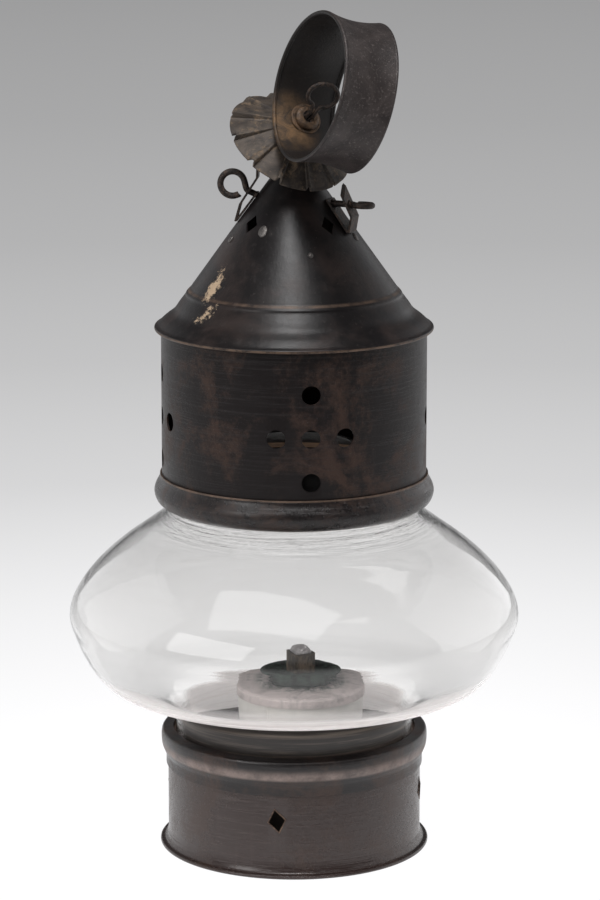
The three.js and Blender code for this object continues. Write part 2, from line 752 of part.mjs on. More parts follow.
// Spring catch: a strip soldered inside the pan's rim, bowed out above it to bear on the base drum.
function springCatch() {
  const lie = flatInside(panRadius - sheet, catchWidth) - solderGap;
  const rim = panLift + panRim;
  const bow = flatInside(baseRadius - sheet, catchWidth) - seatGap;
  const line = [
    [lie, panTop + solderGap],
    [lie, rim + sheet],
    [bow, rim + catchRise * catchBowShares[0]],
    [bow, rim + catchRise * catchBowShares[1]],
    [lie - sheet, rim + catchRise],
  ];
  return plate(strip(line, sheet), catchWidth);
}

// Font: the oil pot.
function fontBody() {
  const bottom = panTop + solderGap;
  return turned(
    [
      [0, bottom],
      [fontRadius - sheet, bottom],
      [fontRadius - sheet, lidZ - solderGap],
      [fontRadius - 2 * sheet, lidZ - solderGap],
      [fontRadius - 2 * sheet, bottom + sheet],
      [0, bottom + sheet],
    ],
    lampFacets,
  );
}

// Lid of the font: a rim lapped over the pot, and a low cone up to the burner's collar.
function fontTop() {
  const seat = collarRadius - sheet;
  return turned(
    [
      [fontRadius - sheet + solderGap, lidZ - fontLid],
      [fontRadius + solderGap, lidZ - fontLid],
      [fontRadius + solderGap, lidZ],
      [fontRadius - sheet, lidZ + sheet],
      [seat, coneTopZ],
      [seat, coneTopZ - sheet],
      [fontRadius - sheet + solderGap, lidZ],
    ],
    lampFacets,
  );
}

// Brass collar that the burner screws into.
function burnerCollar() {
  const bore = collarRadius - 2 * sheet;
  return turned(
    [
      [bore - sheet, coneTopZ - plugDepth],
      [bore, coneTopZ - plugDepth],
      [bore, coneTopZ + solderGap],
      [collarRadius + sheet, coneTopZ + solderGap],
      [collarRadius + sheet, coneTopZ + sheet],
      [collarRadius, coneTopZ + collarHeight],
      [bore - sheet, coneTopZ + collarHeight],
    ],
    lampFacets,
  );
}

// A square bar standing at the wick tube's turn.
function squareBar(side, low, high) {
  const made = new THREE.BoxGeometry(side, side, high - low);
  return made.rotateZ(tubeTurn * deg).translate(0, 0, (low + high) / 2);
}

const floorZ = burnerZ + sheet;

// Burner: a dished cap with a rolled rim and a plug that fills the collar.
function burnerDish() {
  const plug = collarRadius - 3 * sheet - runningGap;
  const outline = [
    [0, coneTopZ - plugDepth],
    [plug, coneTopZ - plugDepth],
    [plug, burnerZ],
    ...burnerRimShares.map(([r, h]) => [burnerRadius + burnerRim * r, burnerZ + burnerRim * h]),
    [burnerRadius - burnerRim * burnerSlopeShare, floorZ + sheet / 4],
    [0, floorZ],
  ];
  const slot = squareBar(tubeSide + 2 * solderGap, lidZ - tubeBelow, burnerZ + tubeTop);
  return cut(turned(outline, lampFacets), slot);
}

// Square wick tube with open ends.
function wickTube() {
  const low = floorZ - tubeBelow;
  const bar = squareBar(tubeSide, low, floorZ + tubeTop);
  return cut(bar, squareBar(tubeSide - 2 * tubeWall, low - overrun, floorZ + tubeTop + overrun));
}

// Wick: a soft square cord that stands a little out of its tube, its end rounded by burning.
function wick() {
  const side = tubeSide - 2 * tubeWall - 2 * runningGap;
  const top = floorZ + tubeTop + wickShow;
  const bar = squareBar(side, floorZ - wickBelow, top).rotateZ(-tubeTurn * deg);
  const crown = new THREE.SphereGeometry(side, lampFacets / 2, lampFacets / 4).translate(0, 0, top - side);
  const shank = squareBar(side, floorZ - wickBelow, top - side / 2).rotateZ(-tubeTurn * deg);
  const made = geometryOf(solid(bar).intersect(solid(crown)).add(solid(shank)));
  return made.rotateZ(tubeTurn * deg);
}

function strapGroup(side) {
  const strap = straps[side];
  const { r, z, slope } = pinPlace(strap);
  const group = new THREE.Group();
  group.rotation.z = bearing(strap.turn);
  const eye = piece(side + "_eye", wireEye(strap), finish.wire);
  eye.rotation.x = strap.eyeTurn * deg;
  const pin = new THREE.Group();
  pin.position.set(r, 0, z);
  pin.rotation.y = -slope;
  pin.add(eye);
  group.add(piece(side + "_strap", strapStrip(strap), finish.hoodIron), pin);
  return group;
}

function handleGroup() {
  const group = new THREE.Group();
  group.position.copy(hoodApex);
  group.quaternion.copy(ringPose);
  const ring = piece("ring_handle", ringHandle(), finish.ringIron);
  ring.position.z = ringCentre;
  ring.rotation.z = ringTurn * deg;
  const washer = piece("handle_washer", handleWasher(), finish.hoodIron);
  washer.rotation.z = ringTurn * deg;
  const pin = piece("handle_pin", handlePin(), finish.wire);
  pin.rotation.z = pinBendTurn * deg;
  group.add(ring, washer, pin);
  return group;
}

function hoodGroup() {
  const group = new THREE.Group();
  group.position.copy(hoodApex);
  group.quaternion.copy(hoodPose);
  group.add(piece("smoke_hood", drilledHood(), finish.hoodIron));
  return group;
}

function lampGroup() {
  const group = new THREE.Group();
  const font = new THREE.Group();
  font.position.x = lampAside;
  group.add(piece("bottom_pan", bottomPan(), finish.baseIron), font);
  font.add(
    piece("font_body", fontBody(), finish.tin),
    piece("font_top", fontTop(), finish.tin),
    piece("burner_collar", burnerCollar(), finish.brass),
    piece("burner_dish", burnerDish(), finish.brass),
    piece("wick_tube", wickTube(), finish.brass),
    piece("wick", wick(), finish.cotton),
  );
  for (const [name, turn] of [["left_catch", -90], ["right_catch", 90]]) {
    const spring = piece(name, springCatch(), finish.tin);
    spring.rotation.z = bearing(turn);
    group.add(spring);
  }
  return group;
}

const lantern = new THREE.Group();
lantern.add(
  piece("base_shell", baseShell(), finish.baseIron),
  piece("lower_collar", lowerCollar(), finish.baseIron),
  piece("lower_bedding", lowerBedding(), finish.plaster),
  piece("globe", globe(), finish.glass),
  piece("upper_bedding", upperBedding(), finish.plaster),
  piece("upper_collar", upperCollar(), finish.drumIron),
  piece("upper_drum", upperDrum(), finish.drumIron),
  piece("draught_cone", draughtCone(), finish.drumIron),
  piece("cone_roof", coneRoof(), finish.roofIron),
  strapGroup("left"),
  strapGroup("right"),
  hoodGroup(),
  handleGroup(),
  lampGroup(),
);

export default lantern;
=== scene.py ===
"""Dresses the onion lantern: turned sheet iron, blown glass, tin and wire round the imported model."""

import json
import math
import random

import bpy
from mathutils import Matrix, Vector


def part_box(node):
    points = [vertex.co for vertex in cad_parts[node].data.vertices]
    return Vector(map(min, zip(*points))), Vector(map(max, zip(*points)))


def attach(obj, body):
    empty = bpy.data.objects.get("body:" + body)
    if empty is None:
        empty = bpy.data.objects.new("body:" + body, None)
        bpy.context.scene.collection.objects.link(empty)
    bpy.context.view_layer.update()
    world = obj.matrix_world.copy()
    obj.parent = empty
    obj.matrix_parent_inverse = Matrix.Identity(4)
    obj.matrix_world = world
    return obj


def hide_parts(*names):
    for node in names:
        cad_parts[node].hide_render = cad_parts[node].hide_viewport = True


bl_info = {
    "name": "Onion Lantern",
    "version": (1, 0, 0),
    "blender": (4, 5, 0),
    "location": "View3D > Sidebar > Lantern",
    "description": "Builds the dressed onion lantern piece by piece",
    "category": "Object",
}

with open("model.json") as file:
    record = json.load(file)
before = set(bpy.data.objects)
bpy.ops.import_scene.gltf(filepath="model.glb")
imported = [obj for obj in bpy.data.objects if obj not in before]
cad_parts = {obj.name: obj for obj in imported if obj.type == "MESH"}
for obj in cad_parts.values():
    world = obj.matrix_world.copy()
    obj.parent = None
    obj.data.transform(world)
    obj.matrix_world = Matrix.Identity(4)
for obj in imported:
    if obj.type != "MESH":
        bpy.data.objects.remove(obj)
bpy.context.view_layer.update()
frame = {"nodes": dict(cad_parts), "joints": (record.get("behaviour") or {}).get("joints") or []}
JOINTS = {joint["name"]: joint for joint in frame["joints"]}

MM = 0.001
TURN_STEPS = 180  # faces round a large turned piece
MIDDLE_STEPS = 120
SMALL_STEPS = 72
HEM = 0.85  # radius of a rolled hem, in millimetres
LAMP_SHEET = 0.7  # sheet of the pan and the font, in millimetres
LAMP_TURN = 24  # degrees by which the wick stands turned
BEND_ANGLE = 50  # degrees above which an edge is rounded or left unsmoothed


def length(name, description, value):
    """A size in metres, given here in millimetres."""
    return bpy.props.FloatProperty(
        name=name, description=description, default=value * MM, unit="LENGTH", precision=5, min=0.0)


def colour(name, description, value):
    return bpy.props.FloatVectorProperty(
        name=name, description=description, default=value, subtype="COLOR", size=3, min=0.0, max=1.0)


class BaseSizes(bpy.types.PropertyGroup):
    """Sizes of the base drum, its collar and its vents."""

    radius: length("Base radius", "Outer radius of the base drum", 54.2)
    height: length("Base height", "Foot to the shelf that carries the glass", 43.8)
    foot: length("Foot radius", "Outer radius of the folded foot", 57.7)
    shelf: length("Shelf", "How far the shelf reaches inwards", 5.6)
    sheet: length("Sheet", "Thickness of the sheet iron", 0.7)
    bead: length("Bead", "Bead of the collar beyond its edge", 2.0)
    vent_width: length("Vent width", "Width of a diamond vent", 7.0)
    vent_height: length("Vent height", "Height of a diamond vent", 9.6)
    vent_level: length("Vent level", "Height of the diamond vents' middles", 24.6)


class GlassSizes(bpy.types.PropertyGroup):
    """Sizes of the blown globe."""

    radius: length("Globe radius", "Largest radius of the globe", 95.8)
    wall: length("Glass wall", "Thickness of the glass", 1.6)
    height: length("Glass height", "Height from neck to neck", 110.2)
    bottom: length("Glass level", "Height of the lower neck's edge", 45.0)


class DrumSizes(bpy.types.PropertyGroup):
    """Sizes of the pierced drum and the roof over it."""

    radius: length("Drum radius", "Outer radius of the pierced drum", 56.0)
    bottom: length("Drum level", "Height of the drum's shelf", 156.4)
    top: length("Roof level", "Height at which the roof's flange starts", 225.6)
    hole: length("Hole diameter", "Diameter of an air hole", 7.8)
    flange: length("Flange radius", "Outer radius of the roof's flange", 58.8)
    bead: length("Bead", "Bead of the collar beyond its edge", 2.4)
    draught: length("Draught opening", "Radius of the draught cone's opening", 25.0)


class HandleSizes(bpy.types.PropertyGroup):
    """Sizes of the hood, the ring handle and the wires."""

    hood: length("Hood radius", "Radius of the pleated hood", 27.3)
    ring: length("Ring radius", "Outer radius of the ring handle", 31.28)
    ring_width: length("Ring width", "Width of the ring's band", 26.4)
    ring_centre: length("Ring centre", "Ring's middle above the hood's crown", 32.1)
    eye_wire: length("Eye wire", "Diameter of the wire in the eyes", 2.7)
    pin_wire: length("Pin wire", "Diameter of the wire in the split pin", 1.8)


class LampSizes(bpy.types.PropertyGroup):
    """Sizes of the oil lamp inside the base."""

    pan: length("Pan radius", "Outer radius of the pan", 53.0)
    font: length("Font radius", "Outer radius of the font's lid", 27.6)
    burner: length("Burner radius", "Outer radius of the burner's rim", 17.4)
    tube: length("Tube side", "Outer side of the square wick tube", 9.4)
    aside: length("Lamp offset", "Font to the right of the pan's middle", 2.8)


class FinishColours(bpy.types.PropertyGroup):
    """Colours of the finishes."""

    japan: colour("Japanning", "Dark varnish over the sheet iron", (0.0115, 0.0088, 0.0088))
    base_iron: colour("Base varnish", "Worn varnish of the base drum", (0.039, 0.0245, 0.0215))
    brown: colour("Brown", "Brown that shows through the varnish", (0.05, 0.029, 0.022))
    worn: colour("Worn edge", "Bare and rusted crests and edges", (0.2, 0.13, 0.09))
    hood: colour("Hood", "Sooty grey-brown of the hood", (0.085, 0.066, 0.052))
    verdigris: colour("Verdigris", "Green-grey bloom on the burner", (0.05, 0.075, 0.06))
    tin: colour("Tin", "Dull tinned sheet", (0.6, 0.52, 0.5))
    cotton: colour("Wick", "Pale cotton of the wick", (0.95, 0.9, 0.9))


class StudioSettings(bpy.types.PropertyGroup):
    """Camera distance, height and light."""

    distance: length("Camera distance", "From the lantern's axis to the camera", 1594.0)
    height: length("Camera height", "Above the table", 521.0)
    aside: length("Camera shift", "To the right of the lantern's axis", 2.5)
    pitch: bpy.props.FloatProperty(
        name="Pitch", description="How far the camera looks down",
        default=math.radians(12.36), subtype="ANGLE")
    lens: bpy.props.FloatProperty(name="Lens", description="Focal length in millimetres", default=154.1)
    key: bpy.props.FloatProperty(name="Key light", description="Power of the key softbox", default=21.0)


GROUPS = {
    "lantern_base": BaseSizes,
    "lantern_glass": GlassSizes,
    "lantern_drum": DrumSizes,
    "lantern_handle": HandleSizes,
    "lantern_lamp": LampSizes,
    "lantern_finish": FinishColours,
    "lantern_studio": StudioSettings,
}


# Outlines


def spline(points, steps):
    """A smooth line through the points, each a tuple of numbers."""
    line = []
    last = len(points) - 1
    for i in range(last):
        around = [points[max(0, min(last, i + k))] for k in (-1, 0, 1, 2)]
        for step in range(steps):
            t = step / steps
            weights = (
                (-t + 2 * t * t - t ** 3) / 2,
                (2 - 5 * t * t + 3 * t ** 3) / 2,
                (t + 4 * t * t - 3 * t ** 3) / 2,
                (t ** 3 - t * t) / 2,
            )
            axes = range(len(points[0]))
            line.append(tuple(sum(w * p[k] for w, p in zip(weights, around)) for k in axes))
    return line + [tuple(points[-1])]


def arc(centre, radius, start, stop, steps):
    """Points on an arc, with its angles in degrees."""
    angles = [math.radians(start + (stop - start) * i / steps) for i in range(steps + 1)]
    return [(centre[0] + radius * math.cos(a), centre[1] + radius * math.sin(a)) for a in angles]


def folded(line, thickness):
    """The closed outline of a sheet: a line and its copy at one thickness to the left."""
    side = []
    for i, (x, y) in enumerate(line):
        before = Vector(line[i]) - Vector(line[max(i - 1, 0)])
        after = Vector(line[min(i + 1, len(line) - 1)]) - Vector(line[i])
        along = (before.normalized() + after.normalized()).normalized()
        edge = before.normalized() if before.length else after.normalized()
        stretch = thickness / along.dot(edge)
        side.append((x - along.y * stretch, y + along.x * stretch))
    return line + side[::-1]


# Modelling steps


def start_edit(select=True):
    bpy.ops.object.mode_set(mode="EDIT")
    bpy.ops.mesh.select_all(action="SELECT" if select else "DESELECT")


def end_edit():
    bpy.ops.object.mode_set(mode="OBJECT")


def primitive(kind, name, **sizes):
    """A new primitive, alone selected, under its name."""
    bpy.ops.object.select_all(action="DESELECT")
    getattr(bpy.ops.mesh, "primitive_" + kind + "_add")(**sizes)
    piece = bpy.context.object
    piece.name = name
    return piece


def chain(name, points, closed):
    """A chain of edges, drawn by extruding one vertex from point to point."""
    piece = primitive("plane", name, size=MM)
    start_edit()
    bpy.ops.mesh.merge(type="CENTER")
    bpy.ops.transform.translate(value=points[0])
    for before, after in zip(points, points[1:]):
        step = Vector(after) - Vector(before)
        bpy.ops.mesh.extrude_vertices_move(TRANSFORM_OT_translate={"value": step})
    if closed:
        bpy.ops.mesh.select_all(action="SELECT")
        bpy.ops.mesh.remove_doubles(threshold=MM / 1000)
    end_edit()
    return piece


def tidy_mesh(piece, smooth=30):
    """Merges doubles, turns the faces outwards and smooths all but the sharp edges."""
    only(piece)
    start_edit()
    bpy.ops.mesh.remove_doubles(threshold=MM / 200)
    bpy.ops.mesh.normals_make_consistent(inside=False)
    end_edit()
    bpy.ops.object.shade_smooth_by_angle(angle=math.radians(smooth))


def only(piece):
    bpy.ops.object.select_all(action="DESELECT")
    piece.select_set(True)
    bpy.context.view_layer.objects.active = piece


def turned(name, outline, steps=TURN_STEPS, turn=360, axis=(0, 0, 1)):
    """A closed outline of radius and height, spun about an axis."""
    flat = [(r, 0, z) if axis[2] else (r, z, 0) for r, z in outline + outline[:1]]
    piece = chain(name, flat, closed=True)
    start_edit()
    whole = abs(turn) == 360
    if not whole:
        bpy.ops.mesh.edge_face_add()
    bpy.ops.mesh.spin(steps=steps, angle=math.radians(turn), center=(0, 0, 0), axis=axis)
    end_edit()
    tidy_mesh(piece)
    return piece


def modify(piece, kind, **settings):
    """Adds a modifier, sets it and applies it."""
    only(piece)
    bpy.ops.object.modifier_add(type=kind)
    modifier = piece.modifiers[-1]
    for key, value in settings.items():
        setattr(modifier, key, value)
    bpy.ops.object.modifier_apply(modifier=modifier.name)


def remove(piece):
    only(piece)
    bpy.ops.object.delete()


def carve(piece, cutter, operation="DIFFERENCE"):
    """Cuts a piece by another, which is then deleted."""
    modify(piece, "BOOLEAN", operation=operation, object=cutter, solver="EXACT")
    remove(cutter)


def joined(name, pieces):
    only(pieces[0])
    for piece in pieces[1:]:
        piece.select_set(True)
    bpy.ops.object.join()
    bpy.context.object.name = name
    return bpy.context.object


def set_down(piece, matrix):
    """Turns and moves the mesh, and leaves the object at the origin."""
    piece.matrix_world = matrix
    only(piece)
    bpy.ops.object.transform_apply(location=True, rotation=True, scale=True)


def moved(x, y, z):
    return Matrix.Translation((x, y, z))


def rotated(degrees, axis):
    return Matrix.Rotation(math.radians(degrees), 4, axis)


def facing(turn, z=0.0):
    """Carries +X to a turn, in degrees from the front to the right, and up to a height."""
    return moved(0, 0, z) @ rotated(turn - 90, "Z")


def dent(piece, size, strength):
    """Uneven hand work: a slow noise that moves the surface a little."""
    texture = bpy.data.textures.new(piece.name + "_dents", "CLOUDS")
    texture.noise_scale = size
    texture.noise_depth = 1
    only(piece)
    bpy.ops.object.modifier_add(type="DISPLACE")
    modifier = piece.modifiers[-1]
    modifier.texture = texture
    modifier.texture_coords = "LOCAL"
    modifier.strength = strength
    modifier.mid_level = 0.5
    bpy.ops.object.modifier_apply(modifier=modifier.name)
    bpy.data.textures.remove(texture)


def rounded(piece, width, sharp=BEND_ANGLE):
    """Bevels the edges that are sharper than an angle in degrees."""
    modify(piece, "BEVEL", width=width, segments=2, limit_method="ANGLE", angle_limit=math.radians(sharp))


def wire(name, points, diameter, steps=5):
    """A round wire along a smooth path, with rounded ends."""
    path = [tuple(v * MM for v in point) for point in spline(points, steps)]
    piece = chain(name, path, closed=False)
    only(piece)
    bpy.ops.object.convert(target="CURVE")
    made = piece.data
    made.bevel_depth = diameter / 2
    made.bevel_resolution = 5
    made.use_fill_caps = True
    bpy.ops.object.convert(target="MESH")
    tidy_mesh(piece, BEND_ANGLE)
    rounded(piece, diameter / 6, 60)
    return piece


def settle(piece, body, slot, material, *nodes):
    """Gives a finished piece its material, its body and the nodes that it stands for."""
    piece.data.materials.clear()
    piece.data.materials.append(material)
    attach(piece, body)
    if nodes:
        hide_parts(*nodes)


def refinish(names, material):
    """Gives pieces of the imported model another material."""
    for name in names:
        slots = frame["nodes"][name].data.materials
        slots.clear()
        slots.append(material)


def scaled(line):
    """A line given in millimetres, in metres."""
    return [tuple(v * MM for v in point) for point in line]


# Materials


class Value:
    """A number in a material: Python's operators on it add Math nodes."""

    def __init__(self, finish, socket):
        self.finish = finish
        self.socket = socket

    def maths(self, operation, *values):
        return self.finish.node("Math", {"operation": operation}, dict(enumerate(values)))

    def __add__(self, other):
        return self.maths("ADD", self, other)

    __radd__ = __add__

    def __mul__(self, other):
        return self.maths("MULTIPLY", self, other)

    def __sub__(self, other):
        return self.maths("SUBTRACT", self, other)

    def __rsub__(self, other):
        return self.maths("SUBTRACT", other, self)

    def most(self, other):
        return self.maths("MAXIMUM", self, other)


class Nodes:
    """The nodes of a material or a light under construction."""

    def __init__(self, owner):
        owner.use_nodes = True
        self.tree = owner.node_tree

    def node(self, kind, settings=None, sockets=None, output=0):
        """Adds a node, sets it, fills its sockets and gives one of its outputs."""
        made = self.tree.nodes.new("ShaderNode" + kind)
        for key, value in (settings or {}).items():
            if key == "stops":
                self.set_stops(made.color_ramp, value)
            else:
                setattr(made, key, value)
        for key, value in (sockets or {}).items():
            if isinstance(value, Value):
                self.tree.links.new(value.socket, made.inputs[key])
            else:
                made.inputs[key].default_value = value
        return Value(self, made.outputs[output])

    def set_stops(self, ramp, stops):
        while len(ramp.elements) < len(stops):
            ramp.elements.new(1.0)
        for element, (position, shade) in zip(ramp.elements, stops):
            element.position = position
            element.color = (*shade, 1.0)

    def step(self, value, low, high):
        """0 below low, 1 above high and smooth between."""
        return self.node("MapRange", {"interpolation_type": "SMOOTHSTEP"}, {
            "Value": value, "From Min": low, "From Max": high})


class Finish(Nodes):
    """A procedural material."""

    def __init__(self, name):
        self.material = bpy.data.materials.new(name)
        super().__init__(self.material)
        self.tree.nodes.clear()
        self.place = self.node("TexCoord", output="Object")

    def noise(self, scale, detail=6.0, rough=0.6, stretch=(1, 1, 1), twist=0.0):
        place = self.node("Mapping", {}, {"Vector": self.place, "Scale": stretch})
        return self.node("TexNoise", {}, {
            "Vector": place, "Scale": scale, "Detail": detail, "Roughness": rough, "Distortion": twist})

    def vectors(self, operation, *values, output="Vector"):
        """Vector arithmetic on vectors given as values or as tuples."""
        return self.node("VectorMath", {"operation": operation}, dict(enumerate(values)), output)

    def distance(self, point):
        """Distance of the surface from a point."""
        away = self.vectors("SUBTRACT", self.place, tuple(point))
        return self.vectors("LENGTH", away, output="Value")

    def round_axis(self, point, axis):
        """Distances of the surface from an axis, and along it from a point."""
        away = self.vectors("SUBTRACT", self.place, tuple(point))
        along = self.vectors("DOT_PRODUCT", away, tuple(axis), output="Value")
        beside = self.vectors("CROSS_PRODUCT", away, tuple(axis))
        return self.vectors("LENGTH", beside, output="Value"), along

    def along(self, axis):
        """A coordinate of the piece in metres."""
        return self.node("SeparateXYZ", {}, {"Vector": self.place}, axis)

    def fade(self, value, low, high, start, stop):
        """Runs from start at low to stop at high."""
        return self.node("MapRange", {}, {
            "Value": value, "From Min": low, "From Max": high, "To Min": start, "To Max": stop})

    def mix(self, mask, low, high):
        """Blends two colours by a mask."""
        low, high = [c if isinstance(c, Value) else (*c, 1.0) for c in (low, high)]
        return self.node("Mix", {"data_type": "RGBA"}, {0: mask, 6: low, 7: high}, 2)

    def bump(self, height, distance, strength=1.0):
        return self.node("Bump", {}, {"Height": height, "Distance": distance, "Strength": strength})

    def surface(self, **sockets):
        """Ends the material in a Principled shader."""
        named = {key.replace("_", " "): value for key, value in sockets.items()}
        self.end_in(self.node("BsdfPrincipled", {}, named))

    def glow(self, shade, strength):
        """Ends a stage material in a dark surface that shines by itself."""
        self.surface(
            Base_Color=(0.02, 0.02, 0.02, 1.0), Roughness=0.9, Emission_Color=shade,
            Emission_Strength=strength)

    def end_in(self, shader):
        made = self.tree.nodes.new("ShaderNodeOutputMaterial")
        self.tree.links.new(shader.socket, made.inputs["Surface"])


def grained(name, noise, edges, dark, pale, rough, by_grain, bump, metallic=0.0):
    """A weathered surface of two colours, mixed by one grain that also roughens it."""
    finish = Finish(name)
    grain = finish.noise(*noise)
    finish.surface(
        Base_Color=finish.mix(finish.step(grain, *edges) if edges else grain, dark, pale),
        Roughness=rough + grain * by_grain if by_grain else rough, Metallic=metallic,
        Normal=finish.bump(grain, *bump))
    return finish.material


def band(finish, start, full, fall, end):
    """Rises from 0 at start to 1 at full and falls from fall to 0 at end, in metres up the lantern."""
    up = finish.along("Z")
    return finish.step(up, start, full) * (1 - finish.step(up, fall, end))


def japanned_iron(
        name, dark, shades, wear_and_highlight_bands=(), brown_amount=0.5, shine=0.42, gloss=0.36, wear_and_highlight_colour=None):
    """Old dark varnish on sheet iron: mottled brown, streaked, dusty, and worn where it stands proud; on
    the lower collar the crest band is a painted highlight, partly wear.
    """
    finish = Finish(name)
    mottle = finish.noise(38, 9, 0.65, twist=0.6)
    fine = finish.noise(420, 6, 0.7)
    patches = finish.step(mottle + fine * 0.35, 0.74 - brown_amount * 0.2, 0.9 - brown_amount * 0.1)
    streaks = finish.step(finish.noise(55, 7, 0.75, (0.5, 0.5, 22)), 0.5, 0.72)
    runs = finish.step(finish.noise(90, 5, 0.6, (3.5, 3.5, 0.25)), 0.56, 0.72)
    base = finish.mix(patches, dark, shades.brown)
    lighter = [min(1.0, c * 2.2 + 0.008) for c in dark]
    base = finish.mix(streaks * 0.4 + runs * 0.12, base, lighter)
    dust = finish.step(finish.noise(1500, 3, 0.8), 0.6, 0.7) * finish.step(mottle, 0.4, 0.6)
    base = finish.mix(dust * 0.4, base, [c * 4 + 0.03 for c in dark])
    wear_and_highlight = finish.step(finish.noise(150, 8, 0.8), 0.72, 0.78) * 0.5
    for levels in wear_and_highlight_bands:
        crest = band(finish, *levels)
        wear_and_highlight = wear_and_highlight.most(crest * finish.fade(finish.noise(110, 8, 0.75), 0.38, 0.62, 0.25, 0.75))
    base = finish.mix(wear_and_highlight, base, wear_and_highlight_colour or shades.worn)
    rough = shine + patches * 0.16 + wear_and_highlight * 0.2 + fine * 0.12 - 0.06
    height = mottle * 0.5 + fine * 0.2 + streaks * 0.12 + dust * 0.2 - wear_and_highlight * 0.12
    finish.surface(
        Base_Color=base, Roughness=rough, Metallic=0.15, Specular_IOR_Level=gloss,
        Normal=finish.bump(height, 0.0011, 0.55))
    return finish.material


class Lantern_OT_stage(bpy.types.Operator):
    """Sets up the camera, the floor and the light"""

    bl_idname = "lantern.stage"
    bl_label = "Stage"

    def execute(self, context):
        studio = context.scene.lantern_studio
        add_camera(studio)
        add_floor()
        add_lights(studio)
        context.scene.view_settings.view_transform = "Standard"
        return {"FINISHED"}


def add_camera(studio):
    data = bpy.data.cameras.new("camera")
    data.sensor_width = 36
    data.lens = studio.lens
    data.clip_end = 60
    camera = bpy.data.objects.new("camera", data)
    bpy.context.scene.collection.objects.link(camera)
    camera.location = (studio.aside, -studio.distance, studio.height)
    camera.rotation_euler = (math.radians(90) - studio.pitch, 0, 0)
    bpy.context.scene.camera = camera


# Sizes of the studio in metres
FLOOR_SIZE = 40.0
FLOOR_REACH = 4.0
# Brightness of the floor at distances from the lantern
FLOOR_SHADES = (
    (0.18, 1.0), (0.41, 0.86), (0.70, 0.65), (1.08, 0.525), (1.61, 0.435), (2.39, 0.378), (3.63, 0.332),
)
DARK_FLOOR = (-0.9, -0.25)  # where the floor darkens in front of the lantern
WALL_ASIDE, WALL_BACK, WALL_LEVEL = 1.3, 1.2, 0.76
WALL_HEIGHT, WALL_LENGTH = 1.5, 3.0
AIM = (0, 0, 0.2)


def add_floor():
    """A pale floor that darkens with distance and ends in the dark in front of the lantern."""
    floor = primitive("grid", "floor", size=FLOOR_SIZE, x_subdivisions=16, y_subdivisions=16)
    finish = Finish("floor_pale")
    away = finish.vectors("LENGTH", finish.place, output="Value")
    stops = [
        (reach / FLOOR_REACH, (shade, shade * 0.998, shade * 1.006)) for reach, shade in FLOOR_SHADES]
    shade = finish.node("ValToRGB", {"stops": stops}, {0: away * (1 / FLOOR_REACH)})
    shade = finish.mix(finish.step(finish.along("Y"), *DARK_FLOOR), (0.1, 0.1, 0.1), shade)
    finish.glow(shade, 0.985)
    floor.data.materials.append(finish.material)


def softbox(name, size, place, power, soft=0.3):
    """A rectangular light on the lantern, whose edges fade over a share of its size."""
    data = bpy.data.lights.new(name, "AREA")
    data.shape = "RECTANGLE"
    data.size, data.size_y = size
    data.energy = power
    nodes = Nodes(data)
    spot = nodes.node("NewGeometry", output="Parametric")
    fades = []
    for axis in "XY":
        across = nodes.node("SeparateXYZ", {}, {"Vector": spot}, axis)
        fades.append(nodes.step(across.maths("PINGPONG", across, 0.5), 0.0, soft))
    strength = fades[0] * fades[1]
    nodes.tree.links.new(strength.socket, nodes.tree.nodes["Emission"].inputs["Strength"])
    light = bpy.data.objects.new(name, data)
    bpy.context.scene.collection.objects.link(light)
    light.location = place
    light.rotation_euler = (Vector(AIM) - Vector(place)).to_track_quat("-Z", "Y").to_euler()


def link_lights(names, pieces, state):
    """Lets lights leave out some pieces, or light nothing else."""
    group = bpy.data.collections.new(names[0] + "_" + state.lower())
    for piece in pieces:
        group.objects.link(piece)
    for linked in group.collection_objects:
        linked.light_linking.link_state = state
    for name in names:
        bpy.data.objects[name].light_linking.receiver_collection = group


def side_wall(name, side, strength):
    """A white studio wall beside the lantern, which a camera further out at that side can't see past."""
    wall = primitive("grid", name, size=1, x_subdivisions=8, y_subdivisions=8)
    finish = Finish(name + "_white")
    shade = finish.mix(finish.step(finish.along("Z"), 0.1, 1.5), (0.85, 0.85, 0.86), (0.25, 0.25, 0.255))
    finish.glow(shade, strength)
    stand = moved(side * WALL_ASIDE, WALL_BACK, WALL_LEVEL) @ rotated(90, "Y")
    set_down(wall, stand @ Matrix.Diagonal((WALL_HEIGHT, WALL_LENGTH, 1, 1)))
    wall.data.materials.append(finish.material)


def add_lights(studio):
    for name, size, place, share, *soft in (
            ("key_softbox", (1.2, 1.3), (-1.3, -1.3, 1.0), 1),
            ("top_softbox", (0.6, 1.4), (-0.06, -0.62, 1.7), 2.3),
            ("window", (1.6, 1.2), (-1.35, -1.3, 1.0), 0.62, 0.06),
            ("glass_fill", (2.4, 2.4), (0.3, -1.6, 1.2), 0.31),
            ("high_window", (1.6, 0.9), (-0.25, -0.62, 1.7), 0.32, 0.06),
            ("lamp_fill", (0.8, 0.8), (-0.3, -1.3, 0.55), 0.6)):
        softbox(name, size, place, studio.key * share, *soft)
    side_wall("left_wall", -1, 1.0)
    side_wall("right_wall", 1, 1.4)
    world = bpy.data.worlds.new("studio")
    bpy.context.scene.world = world
    world.use_nodes = True
    background = world.node_tree.nodes["Background"]
    background.inputs["Color"].default_value = (0.78, 0.79, 0.81, 1.0)
    background.inputs["Strength"].default_value = 0.12


# Base

LOWER_COLLAR_SHARES = (
    (0, 0), (0, 0.2), (0.08, 0.29), (0.45, 0.4), (0.86, 0.54), (1, 0.7), (0.98, 0.87), (0.72, 0.965),
    (0, 1.0), (-1.5, 1.03),
)
